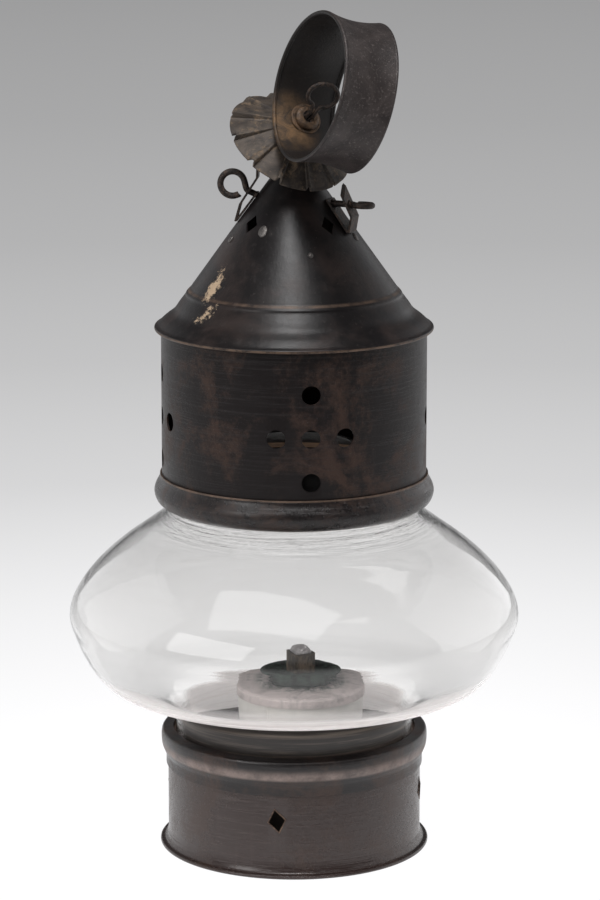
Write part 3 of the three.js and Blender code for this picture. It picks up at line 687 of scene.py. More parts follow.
# Heights in metres at which the crests' wear starts, is full, falls off and ends; on the lower collar the
# band is a painted highlight, partly wear, where the bead faces the bright floor
LOWER_CREST_HIGHLIGHT = ((0.0418, 0.0432, 0.0442, 0.0478),)
UPPER_CRESTS = ((0.1482, 0.1486, 0.149, 0.1498), (0.1617, 0.1622, 0.1628, 0.1633))
UPPER_COLLAR_SHARES = ((0, 0), (0.14, 0.14), (0.88, 0.4), (1, 0.6), (0.5, 0.82), (-0.5, 0.95), (-1.4, 1))


def tipped(turn, z, tilt):
    """Carries +X to a turn and up to a height, and tilts the top to the left."""
    return facing(turn, z) @ rotated(tilt, "X")


def diamond(name, width, height, reach, turn, z, tilt):
    """A diamond bar that pierces a wall at a turn."""
    bar = primitive("cylinder", name, vertices=4, radius=0.5, depth=reach, location=(0, 0, 0))
    to_wall = moved(reach / 2, 0, 0) @ rotated(90, "Y")
    shape = Matrix.Diagonal((height, width, 1, 1))
    set_down(bar, tipped(turn, z, tilt) @ to_wall @ shape)
    return bar


def diamonds(width, height, reach, turn, z, tilt=0.0):
    """Four diamond bars, a quarter turn apart."""
    bars = [diamond("vent_cutter", width, height, reach, turn + 90 * i, z, tilt) for i in range(4)]
    return joined("vent_cutters", bars)


def vent_burrs(radius, width, height, turn, z, tilt, sheet):
    """The worn raised border round each diamond vent."""
    burrs = []
    for i in range(4):
        ring = primitive("cylinder", "burr", vertices=4, radius=0.5, depth=1, end_fill_type="NOTHING")
        modify(ring, "SOLIDIFY", thickness=0.09, offset=1)
        modify(ring, "BEVEL", width=0.03, segments=2)
        to_wall = moved(radius - sheet * 0.2, 0, 0) @ rotated(90, "Y")
        shape = Matrix.Diagonal((height, width, sheet, 1))
        set_down(ring, tipped(turn + 90 * i, z, tilt) @ to_wall @ shape)
        burrs.append(ring)
    return joined("vent_burrs", burrs)


class Lantern_OT_base(bpy.types.Operator):
    """Makes the base drum, its collar and the worn borders of its vents"""

    bl_idname = "lantern.base"
    bl_label = "Base drum"

    def execute(self, context):
        size = context.scene.lantern_base
        shades = context.scene.lantern_finish
        radius, foot, sheet, height = (v / MM for v in (size.radius, size.foot, size.sheet, size.height))
        inside = radius - sheet
        wall = [
            (foot - 1.7, 0.0), (foot - 1.2, 0.0),
            *arc((foot - HEM, HEM), HEM, -90, 90, 8)[1:],
            *spline([(foot - HEM, 2 * HEM), (foot - 2.1, 2.1), (radius + 0.5, 4.1), (radius, 6.8)], 5)[1:],
            (radius, height - 0.5), *arc((radius - 0.5, height - 0.5), 0.5, 0, 90, 4)[1:],
            (radius - size.shelf / MM, height), (radius - size.shelf / MM, height - sheet),
            (inside, height - sheet), (inside, 6.8), (inside + 0.7, 4.2),
        ]
        drum = turned("base_drum", scaled(wall))
        turn, tilt = -7.6, 11
        vent = (size.vent_width, size.vent_height)
        carve(drum, diamonds(*vent, 0.08, turn, size.vent_level, tilt))
        tidy_mesh(drum)
        iron = japanned_iron("base_iron", shades.base_iron, shades, (), 0.45, 0.24, 0.7)
        settle(drum, "lantern", "base_iron", iron, "base_shell")
        burrs = vent_burrs(size.radius, *vent, turn, size.vent_level, tilt, size.sheet)
        settle(burrs, "lantern", "base_iron", worn_iron("vent_border", shades))
        seam = lap_seam("base_seam", size.radius, 6.9 * MM, 36.5 * MM, 152, size.sheet)
        settle(seam, "lantern", "base_iron", iron)
        edge = radius + 0.1 + sheet
        line = [(edge + size.bead / MM * r, 35.6 + 15.4 * h) for r, h in LOWER_COLLAR_SHARES]
        collar = turned("base_collar", scaled(folded(spline(line, 6), sheet)))
        # Pale colour of the lower collar's crest: a painted highlight of the bright floor below, partly
        # wear
        wear_and_highlight_colour = (0.34, 0.26, 0.23)
        dark = japanned_iron("collar_iron", shades.japan, shades, LOWER_CREST_HIGHLIGHT, 0.5, 0.3, 0.6, wear_and_highlight_colour)
        settle(collar, "lantern", "base_iron", dark, "lower_collar")
        return {"FINISHED"}


def lap_seam(name, radius, low, high, turn, sheet):
    """A narrow lap where the ends of a rolled sheet meet, with a soft solder edge."""
    lap = primitive("grid", name, size=1, x_subdivisions=9, y_subdivisions=12)
    modify(lap, "SOLIDIFY", thickness=0.6, offset=0)
    modify(lap, "BEVEL", width=0.12, segments=2)
    tall = high - low
    stand = rotated(90, "Y")
    shape = Matrix.Diagonal((tall, 0.006, sheet * 0.5, 1))
    set_down(lap, facing(turn, (low + high) / 2) @ moved(radius, 0, 0) @ stand @ shape)
    tidy_mesh(lap)
    return lap


def worn_iron(name, shades):
    """Bare rubbed iron of an edge."""
    return grained(
        name, (500, 6, 0.7), (0.35, 0.65), shades.brown, shades.worn, 0.4, 0.2, (0.0003,), metallic=0.5)


# Globe

# Outer line of the globe in shares of its radius and height: a straight neck, a flat underside, the belly
# and the upper neck
GLOBE_SHARES = (
    (0.526, 0), (0.528, 0.064), (0.539, 0.118), (0.566, 0.16), (0.612, 0.186), (0.678, 0.203),
    (0.752, 0.22), (0.809, 0.238), (0.856, 0.265), (0.903, 0.311), (0.946, 0.374), (0.981, 0.446),
    (1, 0.513), (0.974, 0.59), (0.9, 0.681), (0.791, 0.771), (0.649, 0.862), (0.569, 0.913),
    (0.536, 0.948), (0.526, 1),
)


# Heights in metres between which the glass's streaks, its painted shade, its painted light and its painted
# reflection begin or end
LOWER_NECK, UPPER_NECK = (0.05, 0.062), (0.136, 0.146)
NECK_SHADE_END, BACK_NECK_LIGHT_END = (0.0655, 0.068), (0.058, 0.0605)
FLOOR_REFLECTION_START, FLOOR_REFLECTION_END = (0.0672, 0.0686), (0.07, 0.082)
# Places from front to back between which they begin or end
NECK_SHADE_FRONT, BACK_NECK_LIGHT_SIDE, FLOOR_REFLECTION_FRONT = (-0.024, -0.014), (0.012, 0.024), (-0.03, -0.01)


def clear_glass(name):
    """Clear blown glass with faint streaks and specks, painted shade on the front of the lower neck,
    painted light on its back and a painted reflection low on the front of the bowl, which casts no hard
    shadow.
    """
    finish = Finish(name)
    up, back = finish.along("Z"), finish.along("Y")
    wave = finish.noise(7, 2, 0.4, (1, 1, 2.4)) * 0.7 + finish.noise(30, 2, 0.5, (0.6, 0.6, 4)) * 0.08
    lines = finish.noise(40, 5, 0.7, (0.3, 0.3, 12))
    necks = finish.step(up, *UPPER_NECK).most(1 - finish.step(up, *LOWER_NECK))
    wave = wave + lines * necks * 0.5
    shader = finish.node("BsdfPrincipled", {}, {
        "Base Color": (0.93, 0.926, 0.92, 1.0), "Roughness": 0.015, "IOR": 1.46,
        "Transmission Weight": 1.0, "Normal": finish.bump(wave, 0.004, 0.35)})
    passing = finish.node("BsdfTransparent", {}, {"Color": (1.0, 1.0, 1.0, 1.0)})
    shadow = finish.node("LightPath", output="Is Shadow Ray")
    diffuse = finish.node("LightPath", output="Is Diffuse Ray")
    clear = finish.node("MixShader", {}, {0: shadow.most(diffuse), 1: shader, 2: passing})
    # Painted shade: a dark layer on the front of the lower neck, standing for the shaded inside of the base
    # seen through it
    neck_shade = finish.node("BsdfPrincipled", {}, {
        "Base Color": finish.mix(finish.step(lines, 0.45, 0.66), (0.04, 0.034, 0.031), (0.18, 0.145, 0.12)),
        "Roughness": 0.3})
    # A pale film that glows a little: it carries the painted light and the painted reflection, and the pale
    # specks
    speck_and_light_film = finish.node("BsdfPrincipled", {}, {
        "Base Color": finish.mix(finish.step(lines, 0.4, 0.7), (0.95, 0.9, 0.88), (0.7, 0.63, 0.61)),
        "Roughness": 0.8, "Emission Color": (0.86, 0.85, 0.85, 1.0), "Emission Strength": 0.22})
    front = 1 - finish.step(back, *NECK_SHADE_FRONT)
    neck_shade_mask = front * (1 - finish.step(up, *NECK_SHADE_END)) * finish.fade(lines, 0.3, 0.6, 0.97, 0.75)
    # Painted light: the glowing film on the back of the lower neck
    back_neck_light = finish.step(back, *BACK_NECK_LIGHT_SIDE) * (1 - finish.step(up, *BACK_NECK_LIGHT_END))
    back_neck_light = back_neck_light * finish.fade(lines, 0.35, 0.65, 0.95, 0.75)
    # Painted reflection of the bright floor: the glowing film low on the front of the bowl, fading upwards
    floor_reflection = finish.step(up, *FLOOR_REFLECTION_START) * finish.fade(up, *FLOOR_REFLECTION_END, 0.75, 0.0)
    floor_reflection = floor_reflection * (1 - finish.step(back, *FLOOR_REFLECTION_FRONT)) * finish.fade(lines, 0.3, 0.7, 1.0, 0.7)
    specks = finish.step(finish.noise(330, 3, 0.75), 0.75, 0.775)
    with_speck_and_light_film = finish.node("MixShader", {}, {0: back_neck_light.most(floor_reflection).most(specks * 0.5), 1: clear, 2: speck_and_light_film})
    finish.end_in(finish.node("MixShader", {}, {0: neck_shade_mask, 1: with_speck_and_light_film, 2: neck_shade}))
    return finish.material


def bedding_plaster(name, dark, pale):
    """Plaster in two colours mixed by a grain: soot and rust stains on the upper bedding, painted shade on
    the lower.
    """
    return grained(name, (160, 8, 0.7), (0.5, 0.75), dark, pale, 0.95, 0, (0.0012,))


class Lantern_OT_globe(bpy.types.Operator):
    """Blows the globe and beds it in plaster"""

    bl_idname = "lantern.globe"
    bl_label = "Globe"

    def execute(self, context):
        size = context.scene.lantern_glass
        line = spline([(size.radius * r, size.bottom + size.height * h) for r, h in GLOBE_SHARES], 5)
        line = [(min(r, size.radius), z) for r, z in line]
        glass = turned("glass_globe", folded(line, size.wall), 200)
        settle(glass, "lantern", "globe_glass", clear_glass("blown_glass"), "globe")
        link_lights(("key_softbox", "top_softbox"), [glass], "EXCLUDE")
        link_lights(("window", "high_window", "glass_fill"), [glass], "INCLUDE")
        for name, node, *stains_and_shade in (
                # Dark colours of the lower plaster: painted shade in the narrow gap between the collar and
                # the neck
                ("lower_plaster", "lower_bedding", (0.07, 0.045, 0.034), (0.2, 0.13, 0.09)),
                ("upper_plaster", "upper_bedding", (0.2, 0.12, 0.1), (0.42, 0.31, 0.26))):
            plaster = bedding_plaster(name, *stains_and_shade)
            low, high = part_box(node)
            inner, outer = (48.6, 54.1) if node == "lower_bedding" else (49.0, 55.9)
            way = 1 if node == "lower_bedding" else -1
            seat, lip = (low[2], high[2]) if way > 0 else (high[2], low[2])
            ring = [
                (inner * MM, seat), (outer * MM, seat), (outer * MM, lip),
                (53.2 * MM, lip), (50.9 * MM, lip + way * 0.6 * MM),
                (50.9 * MM, seat + way * MM), (inner * MM, seat + way * MM),
            ]
            settle(turned(name, ring, MIDDLE_STEPS), "lantern", "plaster", plaster, node)
        return {"FINISHED"}


# Pierced drum and roof


CROSS_TURNS = (-82.7, 7.3, 97.3)  # front and both sides; the back is plain
CROSS = ((0, 0), (-1, 0), (1, 0), (0, -1), (0, 1))
CROSS_LEVEL = 188.2 * MM
HOLE_RISE = 18.3 * MM
HOLE_TURN = 14.8


class Lantern_OT_drum(bpy.types.Operator):
    """Makes the pierced drum, its collar and the draught cone inside it"""

    bl_idname = "lantern.drum"
    bl_label = "Pierced drum"

    def execute(self, context):
        size = context.scene.lantern_drum
        shades = context.scene.lantern_finish
        sheet = context.scene.lantern_base.sheet
        radius, low = size.radius, size.bottom
        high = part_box("upper_drum")[1][2]
        inside = radius - sheet
        wall = [
            (radius - 0.007, low), (radius - 0.0006, low),
            *arc((radius - 0.0006, low + 0.0006), 0.0006, -90, 0, 4)[1:],
            (radius, high), (inside, high), (inside, low + sheet), (radius - 0.007, low + sheet),
        ]
        drum = turned("air_drum", wall)
        drills = []
        for turn in CROSS_TURNS:
            for column, row in CROSS:
                bit = primitive("cylinder", "drill", vertices=40, radius=size.hole / 2, depth=0.02)
                across = moved(radius, 0, 0) @ rotated(90, "Y")
                place = facing(turn + HOLE_TURN * column, CROSS_LEVEL + HOLE_RISE * row)
                set_down(bit, place @ across)
                drills.append(bit)
        carve(drum, joined("drills", drills))
        tidy_mesh(drum)
        iron = japanned_iron("drum_iron", shades.japan, shades, (), 0.5, 0.34, 0.24)
        settle(drum, "lantern", "drum_iron", iron, "upper_drum")
        seam = lap_seam("drum_seam", radius, 0.164, 0.2235, 141, sheet)
        settle(seam, "lantern", "drum_iron", iron)
        edge = radius + 0.1 * MM + sheet
        line = [(edge + size.bead * r, (162.6 - 13.8 * h) * MM) for r, h in UPPER_COLLAR_SHARES]
        collar = turned("drum_collar", folded(spline(line, 6), -sheet))
        dark = japanned_iron("bead_iron", shades.japan, shades, UPPER_CRESTS, 0.6, 0.28, 0.5)
        settle(collar, "lantern", "drum_iron", dark, "upper_collar")
        settle(draught_cone(inside - 0.1 * MM, size.draught, sheet), "lantern", "drum_iron",
               tan_iron("draught_iron", inside), "draught_cone")
        return {"FINISHED"}


def draught_cone(wall, opening, sheet):
    """A lip soldered inside the drum, and a low cone up to a round opening."""
    low, high = (box[2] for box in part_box("draught_cone"))
    lip = low + 2.5 * MM
    line = [(wall, low), (wall, lip - 0.6 * MM), (wall - 0.5 * MM, lip + 0.1 * MM),
            (opening + MM, high - 0.4 * MM), (opening, high)]
    return turned("draught_cone_iron", folded(line, sheet))


def tan_iron(name, wall):
    """Iron under the roof, near black as painted shade, and tan where it meets the drum's wall as painted
    light from the air holes.
    """
    finish = Finish(name)
    rust = finish.noise(60, 8, 0.7, twist=0.5)
    away, _ = finish.round_axis((0, 0, 0), (0, 0, 1))
    lip = finish.step(away, wall - 0.003, wall - 0.001)
    # Painted light and shade: a mottled tan rim by the wall, lit through the air holes, and near black
    # elsewhere
    painted_light_rim = lip * finish.fade(rust, 0.35, 0.65, 0.5, 1.0)
    base = finish.mix(painted_light_rim, (0.006, 0.005, 0.0045), (0.3, 0.19, 0.12))
    finish.surface(Base_Color=base, Roughness=0.8, Normal=finish.bump(rust, 0.0008))
    return finish.material


CONE_REACH, CONE_RISE = 25.9, 40.7  # a point of the cone's line, in millimetres
DROPS = ((-32, 43.0, 4.2, 5.6), (13, 34.5, 2.2, 2.6), (-70, 38, 2.6, 3.4), (70, 39, 3, 4))


def roof_line(flange, top):
    """Outer line of the roof in millimetres: rolled hem, hollow flare, swaged bead, straight cone."""
    return [
        *arc((flange - HEM, top - 0.6), HEM, -80, 80, 10),
        *spline([(flange - 1.6, top + 0.9), (54.6, top + 3.3), (50.8, top + 6.3), (48.4, top + 9.6),
                 (46.2, top + 12.5)], 5),
        *spline([(45.6, top + 13.3), (45.3, top + 14.1), (44.6, top + 14.9), (43.5, top + 16.0),
                 (42.9, top + 16.9)], 4),
        (CONE_REACH, top + CONE_RISE), (8.8, top + 64.0),
    ]


class Lantern_OT_roof(bpy.types.Operator):
    """Makes the cone roof with its vents, seam and solder"""

    bl_idname = "lantern.roof"
    bl_label = "Cone roof"

    def execute(self, context):
        size = context.scene.lantern_drum
        shades = context.scene.lantern_finish
        sheet = context.scene.lantern_base.sheet
        top = size.top / MM
        roof = turned("roof_cone", scaled(folded(roof_line(size.flange / MM, top), sheet / MM)))
        carve(roof, diamonds(7 * MM, 7 * MM, 0.06, -51, (top + 45) * MM))
        tidy_mesh(roof)
        settle(roof, "lantern", "roof_iron", roof_finish("roof_iron", shades, size.top), "cone_roof")
        slope = math.atan2(17.1, 23.3)
        seam = lap_seam("roof_seam", 0, 0, 44 * MM, 118, sheet)
        middle = (top + 39) * MM
        reach = CONE_REACH * MM + (top + CONE_RISE - middle / MM) * MM * math.tan(slope)
        lean = facing(118, middle) @ moved(reach, 0, 0) @ Matrix.Rotation(-slope, 4, "Y")
        set_down(seam, lean @ moved(0, 0, -22 * MM) @ facing(118).inverted())
        settle(seam, "lantern", "roof_iron", roof.data.materials[0])
        settle(solder_drops(top, slope), "lantern", "roof_iron", solder_finish("old_solder"))
        return {"FINISHED"}


def solder_drops(top, slope):
    """Blobs of solder left on the cone, each a flattened drop."""
    drops = []
    for turn, rise, wide, tall in DROPS:
        drop = primitive("uv_sphere", "drop", segments=24, ring_count=14, radius=0.5)
        dent(drop, 0.5, 0.12)
        reach = (CONE_REACH - (rise - CONE_RISE) * math.tan(slope)) * MM
        lie = facing(turn, (top + rise) * MM) @ moved(reach, 0, 0) @ Matrix.Rotation(-slope, 4, "Y")
        set_down(drop, lie @ Matrix.Diagonal((1.4 * MM, wide * MM, tall * MM, 1)))
        drops.append(drop)
    drops = joined("solder_drops", drops)
    tidy_mesh(drops, 60)
    return drops


def solder_finish(name):
    return grained(
        name, (300, 6, 0.7), None, (0.06, 0.055, 0.055), (0.17, 0.155, 0.145), 0.42, 0, (0.0004,),
        metallic=0.7)


# Heights in metres above the flange at which its wear and the bead's starts, is full, falls off and ends
FLANGE_CREST = (-0.0017, -0.0012, -0.0006, -0.0001)
BEAD_CREST = (0.0146, 0.0152, 0.0154, 0.0163)
# Flaked spots of the roof: turn, height above the flange, radius of the cone there and half width
FLAKES = (
    (-57, 0.0270, 0.0357, 0.0016), (-55, 0.0240, 0.0378, 0.0022), (-55, 0.0210, 0.0400, 0.0024),
    (-55, 0.0182, 0.0419, 0.0022), (-54, 0.0155, 0.0440, 0.0016), (-48, 0.0125, 0.0462, 0.0018),
    (-49, 0.0103, 0.0479, 0.0020), (-52, 0.0080, 0.0496, 0.0012),
)


def roof_finish(name, shades, top):
    """Dark satin roof, with crisp tan spots where the varnish has flaked low on the left."""
    finish = Finish(name)
    mottle = finish.noise(45, 9, 0.65, twist=0.4)
    fine = finish.noise(500, 6, 0.7)
    base = finish.mix(finish.step(mottle, 0.42, 0.7), (0.008, 0.0065, 0.0068), (0.028, 0.019, 0.017))
    runs = finish.step(finish.noise(120, 4, 0.6, (2.4, 2.4, 0.3)), 0.55, 0.75)
    base = finish.mix(runs * 0.2, base, (0.06, 0.05, 0.048))
    specks = finish.step(finish.noise(850, 4, 0.75), 0.64, 0.7)
    base = finish.mix(specks * 0.4, base, (0.13, 0.11, 0.1))
    ragged = finish.noise(420, 8, 0.85) * 0.02 + finish.noise(110, 4, 0.7, (1, 1, 0.4)) * 0.01
    flaked = None
    for turn, rise, reach, half in FLAKES:
        spot = facing(turn, top + rise) @ Vector((reach, 0, 0))
        edge = 1 - finish.step(finish.distance(spot) + ragged, half + 0.0143, half + 0.0155)
        flaked = edge if flaked is None else flaked.most(edge)
    base = finish.mix(flaked * 0.92, base, finish.mix(fine, (0.32, 0.22, 0.14), (0.6, 0.46, 0.32)))
    crest = band(finish, *[top + rise for rise in FLANGE_CREST])
    worn = crest * finish.step(finish.noise(120, 8, 0.7), 0.35, 0.6) * 0.7
    bead = band(finish, *[top + rise for rise in BEAD_CREST])
    worn = worn.most(bead * finish.fade(finish.noise(60, 6, 0.7), 0.4, 0.65, 0.05, 0.6))
    base = finish.mix(worn, base, shades.worn)
    rough = 0.14 + fine * 0.16 + flaked * 0.4 + worn * 0.2 + mottle * 0.3 + runs * 0.06
    height = mottle * 0.35 + fine * 0.2 + flaked * 0.15
    finish.surface(
        Base_Color=base, Roughness=rough, Metallic=0.1, Specular_IOR_Level=0.3,
        Normal=finish.bump(height, 0.0009, 0.5))
    return finish.material


# Hood, straps, eyes, ring and pin

APEX = Vector(JOINTS["ring_swivel"]["pos_m"])
PIN_AXIS = Vector(JOINTS["ring_swivel"]["axis"])
HOOD_TILT = math.radians(41)
HOOD_LEAN = math.radians(38)
PLEATS = 12
PLEAT_SHARES = (
    (0, 0), (0.045, 0.9), (0.07, 1.02), (0.11, 1.05), (0.15, 1.0), (0.18, 0.6),
    (0.22, -0.5), (0.25, -0.58), (0.42, -0.38), (0.6, -0.2), (0.8, -0.08), (0.93, -0.04),
)


def posed(axis, turn=0.0, lift=0.0):
    """From a piece that stands on +Z at the origin to its place along an axis through the apex."""
    pose = Vector((0, 0, 1)).rotation_difference(axis).to_matrix().to_4x4()
    return Matrix.Translation(APEX) @ pose @ moved(0, 0, lift) @ Matrix.Rotation(turn, 4, "Z")


def hood_axis():
    out = math.sin(HOOD_TILT)
    return Vector((out * math.sin(HOOD_LEAN), -out * math.cos(HOOD_LEAN), math.cos(HOOD_TILT)))


def draw_in(pull, level):
    """Extrudes the selected rim and pulls it in towards a level."""
    bpy.ops.mesh.extrude_edges_move(TRANSFORM_OT_translate={"value": (0, 0, 0)})
    bpy.ops.transform.resize(value=pull, center_override=(0, 0, level))


def pleated_hood(radius):
    """Draws the pleated rim, then draws it in ring by ring to the crown."""
    crown, rise, depth, flat = 1.6 * MM, 11.7 * MM, 1.9 * MM, 0.19
    rng = random.Random(7)
    rim = []
    for pleat in range(PLEATS):
        skew = rng.uniform(-0.035, 0.035)
        bold = rng.uniform(0.75, 1.05)
        for part, lift in PLEAT_SHARES:
            angle = 2 * math.pi * (pleat + part + (skew if 0 < part < 0.3 else 0)) / PLEATS
            edge = radius * (1 - abs(lift) / 34 - rng.uniform(0, 0.006))
            rim.append((edge * math.cos(angle), edge * math.sin(angle), depth * lift * bold - rise))
    hood = chain("hood", rim + rim[:1], closed=True)
    start_edit()
    share = 1.0
    for next_share in (0.93, 0.8, 0.62, 0.44, 0.3, 0.22):
        out, next_out = ((s - flat) / (1 - flat) for s in (share, next_share))
        draw_in((next_share / share, next_share / share, next_out / out), -crown)
        share = next_share
    for next_share, drop in ((0.19, 0.5 * MM), (0.17, 0.0), (0.11, 0.0)):
        draw_in((next_share / share, next_share / share, 0), -drop)
        share = next_share
    bpy.ops.mesh.select_all(action="SELECT")
    bpy.ops.mesh.normals_make_consistent(inside=False)
    end_edit()
    dent(hood, 0.012, 0.0006)
    modify(hood, "SOLIDIFY", thickness=0.7 * MM, offset=-1)
    tidy_mesh(hood, 32)
    set_down(hood, posed(hood_axis(), math.radians(23)))
    return hood


def hood_finish(name, shades):
    finish = Finish(name)
    mottle = finish.noise(110, 9, 0.7, twist=0.8)
    fine = finish.noise(700, 6, 0.75)
    base = finish.mix(finish.step(mottle, 0.36, 0.66), (0.022, 0.018, 0.0165), shades.hood)
    tan = finish.step(finish.noise(160, 8, 0.8, twist=0.5), 0.5, 0.64)
    base = finish.mix(tan * 0.8, base, (0.22, 0.155, 0.1))
    base = finish.mix(finish.step(fine, 0.62, 0.74) * 0.4, base, (0.24, 0.2, 0.16))
    rough = 0.5 + fine * 0.2 + tan * 0.12
    finish.surface(
        Base_Color=base, Roughness=rough, Metallic=0.3,
        Normal=finish.bump(mottle * 0.5 + fine * 0.3, 0.0009, 0.6))
    return finish.material


def wire_finish(name):
    return grained(
        name, (600, 7, 0.75), (0.42, 0.62), (0.018, 0.015, 0.014), (0.075, 0.05, 0.038), 0.42, 0.25,
        (0.0006, 0.6), metallic=0.45)


class Lantern_OT_hood(bpy.types.Operator):
    """Folds the pleated hood and finishes the straps that carry it"""

    bl_idname = "lantern.hood"
    bl_label = "Smoke hood"

    def execute(self, context):
        finish = hood_finish("hood_iron", context.scene.lantern_finish)
        hood = pleated_hood(context.scene.lantern_handle.hood)
        settle(hood, "lantern", "hood_iron", finish, "smoke_hood")
        dark = wire_finish("strap_iron")
        refinish(("left_strap", "right_strap"), dark)
        return {"FINISHED"}


def eye_path(joint, loop, clear_of, turn):
    """The wire of an eye in its own plane, then set at its joint."""
    reach = loop * 1.27
    throat = clear_of - reach
    half = math.asin(loop / reach)
    open_by = math.acos(loop / reach)
    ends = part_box(joint["name"].replace("_turn", ""))
    axis = Vector(joint["axis"]).normalized()
    place = Vector(joint["pos_m"])
    tail = min((Vector((x, y, z)) - place).dot(axis) for x in (ends[0][0], ends[1][0])
               for y in (ends[0][1], ends[1][1]) for z in (ends[0][2], ends[1][2]))
    tail = max(tail / MM, -16.0)
    curl = [math.pi - open_by - (2 * math.pi - 2 * open_by) * i / 12 for i in range(13)]
    short = 1.3 * 2.7 / math.sin(2 * half)
    points = [
        (tail + 1.4, -3.4), (tail + 1.4, -1.7), (tail + 2.1, -0.7), (tail + 4.1, 0), (throat - 2.7, 0),
        (throat, 0.27),
        *[(clear_of + loop * math.cos(a), loop * math.sin(a)) for a in curl],
        (throat + short * math.cos(half), -short * math.sin(half)),
    ]
    side = Vector((0, 0, 1)).cross(axis).normalized()
    up = axis.cross(side)
    spun = Matrix.Rotation(math.radians(turn), 3, axis)
    up = spun @ up
    return [tuple((place + axis * (s * MM) + up * (t * MM)) / MM) for s, t in points]


class Lantern_OT_eyes(bpy.types.Operator):
    """Bends the two wire eyes"""

    bl_idname = "lantern.eyes"
    bl_label = "Wire eyes"

    def execute(self, context):
        thick = context.scene.lantern_handle.eye_wire
        finish = wire_finish("wire_iron")
        for side, loop, stand, turn in (("left", 5.1, 7.34, 4), ("right", 3.6, 6.36, 86)):
            path = eye_path(JOINTS[side + "_eye_turn"], loop, stand, turn)
            eye = wire(side + "_wire_eye", path, thick)
            settle(eye, side + "_eye_wire", "wire_iron", finish, side + "_eye")
        return {"FINISHED"}


RING_TURN = math.radians(-75.3)
NARROW_AT = 55  # degrees round the ring
TAPER_SHARE = 0.1
LAP_TURN = 39
DISH = 1.5  # how far the ring's band is drawn in, in millimetres


def ring_outline(radius, width):
    """Section of the ring's band: drawn in a little between two rolled hems."""
    sheet = 0.9
    reach = width / 2 - HEM
    across = [-1 + 2 * i / 16 for i in range(17)]
    inner = reach - HEM
    outside = [(radius - DISH * (1 - u * u) - 0.15, u * (inner + 0.25)) for u in across]
    inside = [(r - sheet, y * 0.985) for r, y in outside[::-1]]
    return [
        *outside, *arc((radius - HEM, reach), HEM, -50, 215, 12),
        *inside, *arc((radius - HEM, -reach), HEM, 145, 410, 12),
    ]


class Lantern_OT_ring(bpy.types.Operator):
    """Bends the ring handle, and makes its washer and split pin"""

    bl_idname = "lantern.ring"
    bl_label = "Ring handle"

    def execute(self, context):
        size = context.scene.lantern_handle
        radius, width = size.ring / MM, size.ring_width / MM
        turn = RING_TURN
        centre = size.ring_centre
        finish = ring_finish("ring_iron", size)
        ring = turned("ring_band", scaled(ring_outline(radius, width)), 160, axis=(0, 1, 0))
        hole = primitive("cylinder", "pin_drill", vertices=40, radius=2.6 * MM, depth=12 * MM,
                         location=(0, 0, -radius * MM))
        carve(ring, hole)
        narrowed(ring)
        tidy_mesh(ring)
        set_down(ring, posed(PIN_AXIS, turn, centre))
        settle(ring, "ring", "ring_iron", finish, "ring_handle")
        across = [-1 + i / 6 for i in range(13)]
        face = [(radius - 2.55 + DISH * u * u, 10.6 * u) for u in across]
        back = [(r - 0.45, y) for r, y in face[::-1]]
        lap = turned("ring_lap", scaled(face + back), 24, 26, axis=(0, 1, 0))
        rounded(lap, 0.1 * MM)
        set_down(lap, rotated(LAP_TURN, "Y"))
        narrowed(lap)
        set_down(lap, posed(PIN_AXIS, turn, centre))
        settle(lap, "ring", "ring_iron", finish)
        washer = domed_washer(radius, turn, centre)
        settle(washer, "ring", "hood_iron", washer_finish("washer_tin"), "handle_washer")
        settle(split_pin(size.pin_wire), "lantern", "wire_iron", wire_finish("pin_iron"), "handle_pin")
        return {"FINISHED"}


def narrowed(piece):
    """Makes the ring's band a tenth narrower on one side of the ring and a tenth wider on the other."""
    aslant = rotated(NARROW_AT, "Y")
    set_down(piece, aslant)
    ends = [corner[0] for corner in piece.bound_box]
    reach = (max(ends) - min(ends)) / 2
    modify(piece, "SIMPLE_DEFORM", deform_method="TAPER", deform_axis="X", lock_x=False, lock_z=True,
           factor=-2 * TAPER_SHARE * reach / (bpy.context.scene.lantern_handle.ring))
    set_down(piece, aslant.inverted())


def domed_washer(radius, turn, centre):
    """A dome with a small flange, fitted to the inside of the band."""
    low = 3.4
    dome = spline([(5.5, low + 1.2), (5.2, low + 2.4), (4.2, low + 3.2), (2.6, low + 3.4)], 5)
    outline = [(2.6, low - 0.75), (6.7, low - 0.75), (6.7, low + 0.75), (6.4, low + 1.05), *dome]
    washer = turned("domed_washer", scaled(outline), SMALL_STEPS)
    bore = primitive("cylinder", "bore", vertices=160, radius=(radius - 2.6) * MM, depth=60 * MM)
    set_down(bore, moved(0, 0, centre) @ rotated(90, "X"))
    carve(washer, bore, "INTERSECT")
    tidy_mesh(washer, 40)
    set_down(washer, posed(PIN_AXIS, turn))
    return washer


def split_pin(thick):
    """Two legs through the band and a bent-over loop above, from one wire."""
    wire_mm = thick / MM
    side = wire_mm / 2 + 0.1
    over, under = 8.6, -2.8
    splay = math.radians(48)
    legs = {}
    for way in (-1, 1):
        legs[way] = [
            (way * (side + 7 * math.sin(splay)), 0, under - 7 * math.cos(splay)),
            (way * (side + 3.5 * math.sin(splay)), 0, under - 3.5 * math.cos(splay)),
            (way * (side + 0.2), 0, under), (way * side, 0, 0), (way * side, 0, over),
        ]
    lean = Matrix.Rotation(math.radians(-25), 3, "X")
    loop, middle = 6.2, 12.5 - wire_mm
    open_by = math.asin(side / loop) * 1.7
    bow = []
    for i in range(13):
        angle = -math.pi / 2 - open_by - (2 * math.pi - 2 * open_by) * i / 12
        point = lean @ Vector((loop * math.cos(angle), 0, middle + loop * math.sin(angle)))
        bow.append(tuple(point + Vector((0, 0, over))))
    pin = wire("split_pin", [*legs[-1], *bow, *legs[1][::-1]], thick, 4)
    set_down(pin, posed(PIN_AXIS, math.radians(6)))
    return pin


